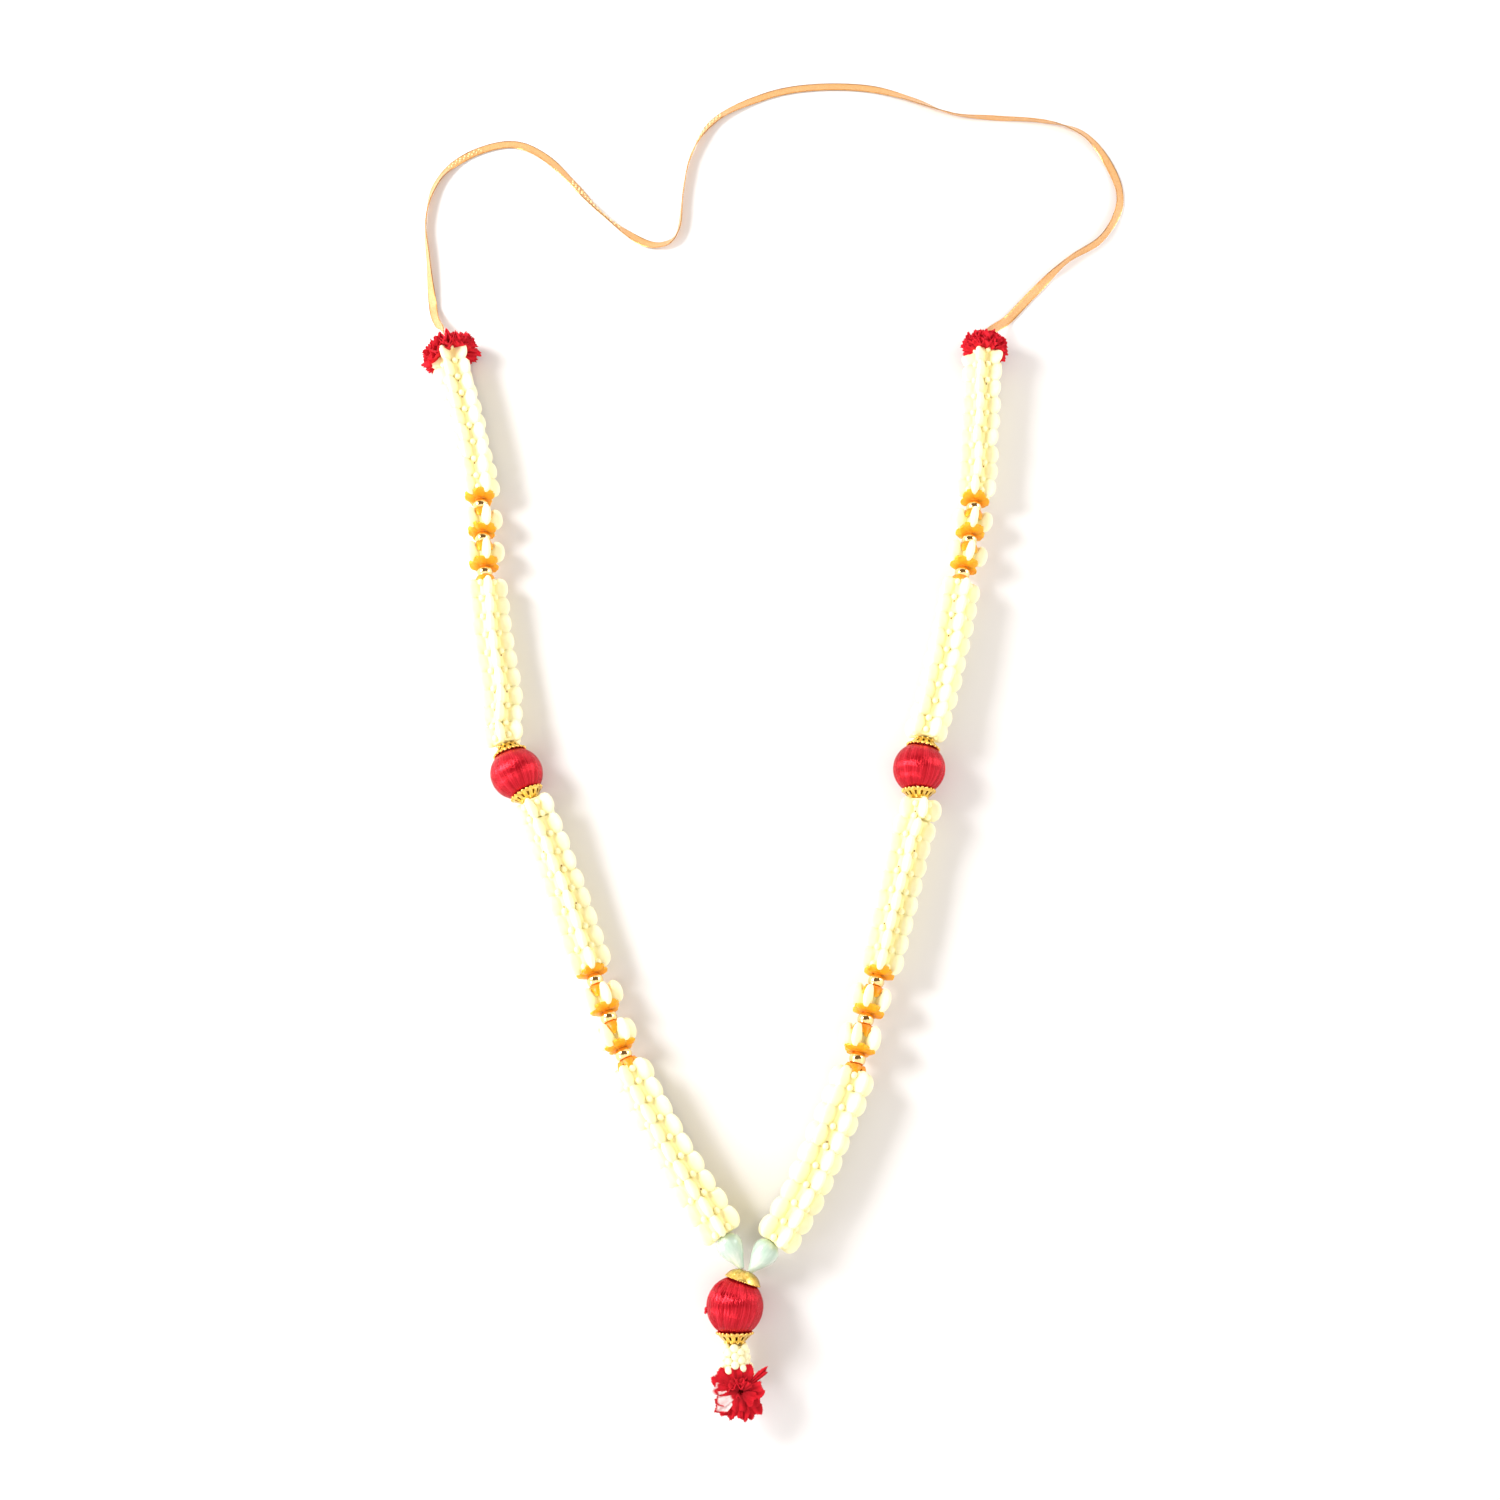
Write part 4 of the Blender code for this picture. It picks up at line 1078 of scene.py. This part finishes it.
# Across the ribbon: share of its half width, share of its half thickness, and tone
RIBBON_FACE = [
    (-1.0, 0.0, 1.0), (-0.93, 0.9, 1.0), (-0.82, 0.9, 0.95), (-0.72, 0.5, 0.3), (-0.3, 0.42, 0.1),
    (0.3, 0.42, 0.1), (0.72, 0.5, 0.3), (0.82, 0.9, 0.95), (0.93, 0.9, 1.0),
]
RIBBON_SECTION = RIBBON_FACE + [(-u, -t, tone) for u, t, tone in RIBBON_FACE]
# Where its chain-stitched back is turned up: shares of its length, first and last
CHAIN_STITCHES = ((0.155, 0.186), (0.266, 0.323), (0.452, 0.484))
STITCH_STEP = 1.1 * MM
STITCH_SIZE = (0.5, 0.5, 0.5)
STITCH_SIDE = 0.45
STITCH_HEIGHT = 0.3

route = Lay([place(x, y, 0) for x, y, _, _ in RIBBON_ROUTE], RIBBON_STEPS)
shells = Shells()
rings, tones = [], []
for k in range(RIBBON_RINGS):
    s = route.length * k / (RIBBON_RINGS - 1)
    mark = next((i for i, reached in enumerate(route.marks) if reached > s), len(route.marks) - 1)
    start = route.marks[mark - 1]
    spot = mark - 1 + (s - start) / (route.marks[mark] - start)
    i = min(int(spot // RIBBON_STEPS), len(RIBBON_ROUTE) - 2)
    share = spot / RIBBON_STEPS - i
    ease = 3 * share**2 - 2 * share**3
    lean = math.radians(RIBBON_ROUTE[i][2] * (1 - ease) + RIBBON_ROUTE[i + 1][2] * ease)
    lift = (RIBBON_ROUTE[i][3] * (1 - share) + RIBBON_ROUTE[i + 1][3] * share) * MM
    rise = RIBBON_WIDTH / 2 * abs(math.cos(lean)) + RIBBON_THICKNESS / 2 * abs(math.sin(lean))
    rise += RIBBON_CLEARANCE
    middle, level, _, ahead = route.stand(s)
    middle = middle + (0, 0, rise + lift)
    across = np.array((0, 0, 1)) * math.cos(lean) + level * math.sin(lean)
    face = np.cross(ahead, across)
    picot = 1.0 if k % 2 else 0.55
    for u, t, tone in RIBBON_SECTION:
        edge = tone > 0.9
        wide = u * (1 - 0.05 * (edge and k % 2 == 0))
        thick = t * (picot if edge else 1.0)
        out = across * wide * RIBBON_WIDTH / 2
        rings.append(middle + out + face * thick * RIBBON_THICKNESS / 2)
        tones.append(tone)
sides = len(RIBBON_SECTION)
faces = wrap(RIBBON_RINGS, sides)[:-sides]
faces += [tuple(range(sides)), tuple(range(len(rings) - sides, len(rings)))]
shells.add(rings, faces, tones)
for first, last in CHAIN_STITCHES:
    for k in range(int((last - first) * route.length / STITCH_STEP)):
        i = int((first + k * STITCH_STEP / route.length) * RIBBON_RINGS)
        ring = np.array(rings[i * sides:(i + 1) * sides])
        middle = ring.mean(axis=0)
        across = ring[len(RIBBON_FACE)] - ring[0]
        ahead = np.array(rings[(i + 1) * sides]) - ring[0]
        across = across / np.linalg.norm(across)
        ahead = ahead / np.linalg.norm(ahead)
        face = np.cross(ahead, across)
        face *= np.sign(face[2])
        side = STITCH_SIDE if k % 2 else -STITCH_SIDE
        stitch, bands = ball_grid(STITCH_SIZE, (side, STITCH_HEIGHT, 0))
        shells.add(stitch @ np.array([across, face, ahead]) * MM + middle, bands, 1.0, 1)

taffeta = Finish("gold_ribbon_weave", Roughness=0.45, Sheen_Weight=0.2, Sheen_Roughness=0.4)
edge = taffeta.tone()
ribs = taffeta.speckle(1800, 2)
woven = taffeta.shades(ribs, [(0.3, (0.60, 0.29, 0.10)), (0.7, (0.80, 0.47, 0.20))])
picots = taffeta.shades(taffeta.speckle(2600, 1), [
    (0.35, (0.50, 0.17, 0.03)), (0.65, (0.90, 0.52, 0.16)),
])
taffeta.colour(taffeta.mixed(edge, woven, picots))
taffeta.spread(edge, "Metallic", 0.0, 0.85)
taffeta.spread(edge, "Roughness", 0.5, 0.22)
taffeta.relief(ribs, 0.06 * MM, 0.7)

chain = Finish("gold_chain_stitch", Metallic=0.35, Roughness=0.3)
chain.colour(chain.mottled(1500, (0.85, 0.58, 0.22), (1.0, 0.86, 0.52), 2))
chain.relief(chain.speckle(3000, 2), 0.05 * MM, 0.6)
finishes = [taffeta.material, chain.material]
ribbon = hang("gold_ribbon", shells, finishes, ["ribbon"])

# The table: a plain sheet of white paper. Three softboxes light it, the strongest from the
# left, in an evenly pale room with a ragged dark gap overhead, which the beads mirror.
# The camera looks down at the layout.
paper = Finish("white_paper_sweep", Roughness=0.9)
paper.colour(paper.mottled(6, (0.80, 0.79, 0.79), (0.815, 0.805, 0.80)))
table = bpy.data.meshes.new("table")
table.from_pydata([(-3, -3, 0), (3, -3, 0), (3, 3, 0), (-3, 3, 0)], [], [(0, 1, 2, 3)])
table.materials.append(paper.material)
sweep = bpy.data.objects.new("table", table)
sweep.location.z = -0.0001
bpy.context.scene.collection.objects.link(sweep)

# Each softbox: its place, what it points at, its size in metres and its power in watts
for name, spot, aim, size, power in (
    ("left_softbox", (-0.75, 0.30, 0.62), (0.0, 0.0, 0.0), 0.35, 9.5),
    ("low_softbox", (-0.70, -0.45, 0.42), (0.0, -0.1, 0.0), 0.25, 2.2),
    ("right_softbox", (0.80, 0.35, 0.40), (0.0, 0.0, 0.0), 0.40, 2.4),
):
    light = bpy.data.lights.new(name, "AREA")
    light.size = size
    light.energy = power
    lamp = bpy.data.objects.new(name, light)
    lamp.location = spot
    lamp.rotation_euler = (Vector(aim) - Vector(spot)).to_track_quat("-Z", "Y").to_euler()
    bpy.context.scene.collection.objects.link(lamp)

world = bpy.data.worlds.new("pale_room")
bpy.context.scene.world = world
world.use_nodes = True
sky = world.node_tree
room = sky.nodes["Background"]
way = sky.nodes.new("ShaderNodeTexCoord").outputs["Generated"]


def sky_maths(kind, operation, *values):
    """One sum in the room's colours, on two values or vectors."""
    made = sky.nodes.new(kind)
    made.operation = operation
    for socket, value in zip(made.inputs, values):
        if isinstance(value, (float, tuple)):
            socket.default_value = value
        else:
            sky.links.new(value, socket)
    return made


# A little brighter overhead and towards the sides, with the dark gap above the camera
parts = sky.nodes.new("ShaderNodeSeparateXYZ")
sky.links.new(way, parts.inputs[0])
height = colours_along(sky, parts.outputs["Z"], [(0.0, (0.80, 0.80, 0.80)), (0.5, (1.0, 1.0, 1.0))])
left_to_right = sky_maths("ShaderNodeMath", "MULTIPLY_ADD", parts.outputs["X"], 0.5, 0.5).outputs[0]
sides = colours_along(sky, left_to_right, [
    (0.08, (0.60, 0.60, 0.60)), (0.22, (0.45, 0.45, 0.447)),
    (0.82, (0.45, 0.43, 0.42)), (0.93, (0.55, 0.53, 0.52)),
])
long_way = sky_maths("ShaderNodeVectorMath", "MULTIPLY", way, (0.45, 1.0, 1.0)).outputs[0]
level = sky_maths("ShaderNodeVectorMath", "NORMALIZE", long_way).outputs[0]
towards_gap = sky_maths("ShaderNodeVectorMath", "DOT_PRODUCT", level, (0.0, 0.37, 0.93))
near_gap = towards_gap.outputs["Value"]
ragged = sky.nodes.new("ShaderNodeTexNoise")
ragged.inputs["Scale"].default_value = 2.6
sky.links.new(way, ragged.inputs["Vector"])
torn = sky_maths("ShaderNodeMath", "MULTIPLY_ADD", ragged.outputs["Fac"], -0.3, near_gap).outputs[0]
gap = colours_along(sky, torn, [(0.71, (1.0, 1.0, 1.0)), (0.75, (0.16, 0.11, 0.07))])
both = sky_maths("ShaderNodeVectorMath", "MULTIPLY", height, sides).outputs[0]
room_light = sky_maths("ShaderNodeVectorMath", "MULTIPLY", both, gap).outputs[0]
sky.links.new(room_light, room.inputs["Color"])
room.inputs["Strength"].default_value = 2.85

bpy.context.scene.view_settings.view_transform = "Standard"

camera = bpy.data.objects.new("camera", bpy.data.cameras.new("camera"))
camera.data.lens = 37.2
camera.data.sensor_width = 36.0
camera.location = (0.01567, -0.14093, 0.59598)
camera.rotation_euler = (math.radians(16), 0, 0)
bpy.context.scene.collection.objects.link(camera)
bpy.context.scene.camera = camera
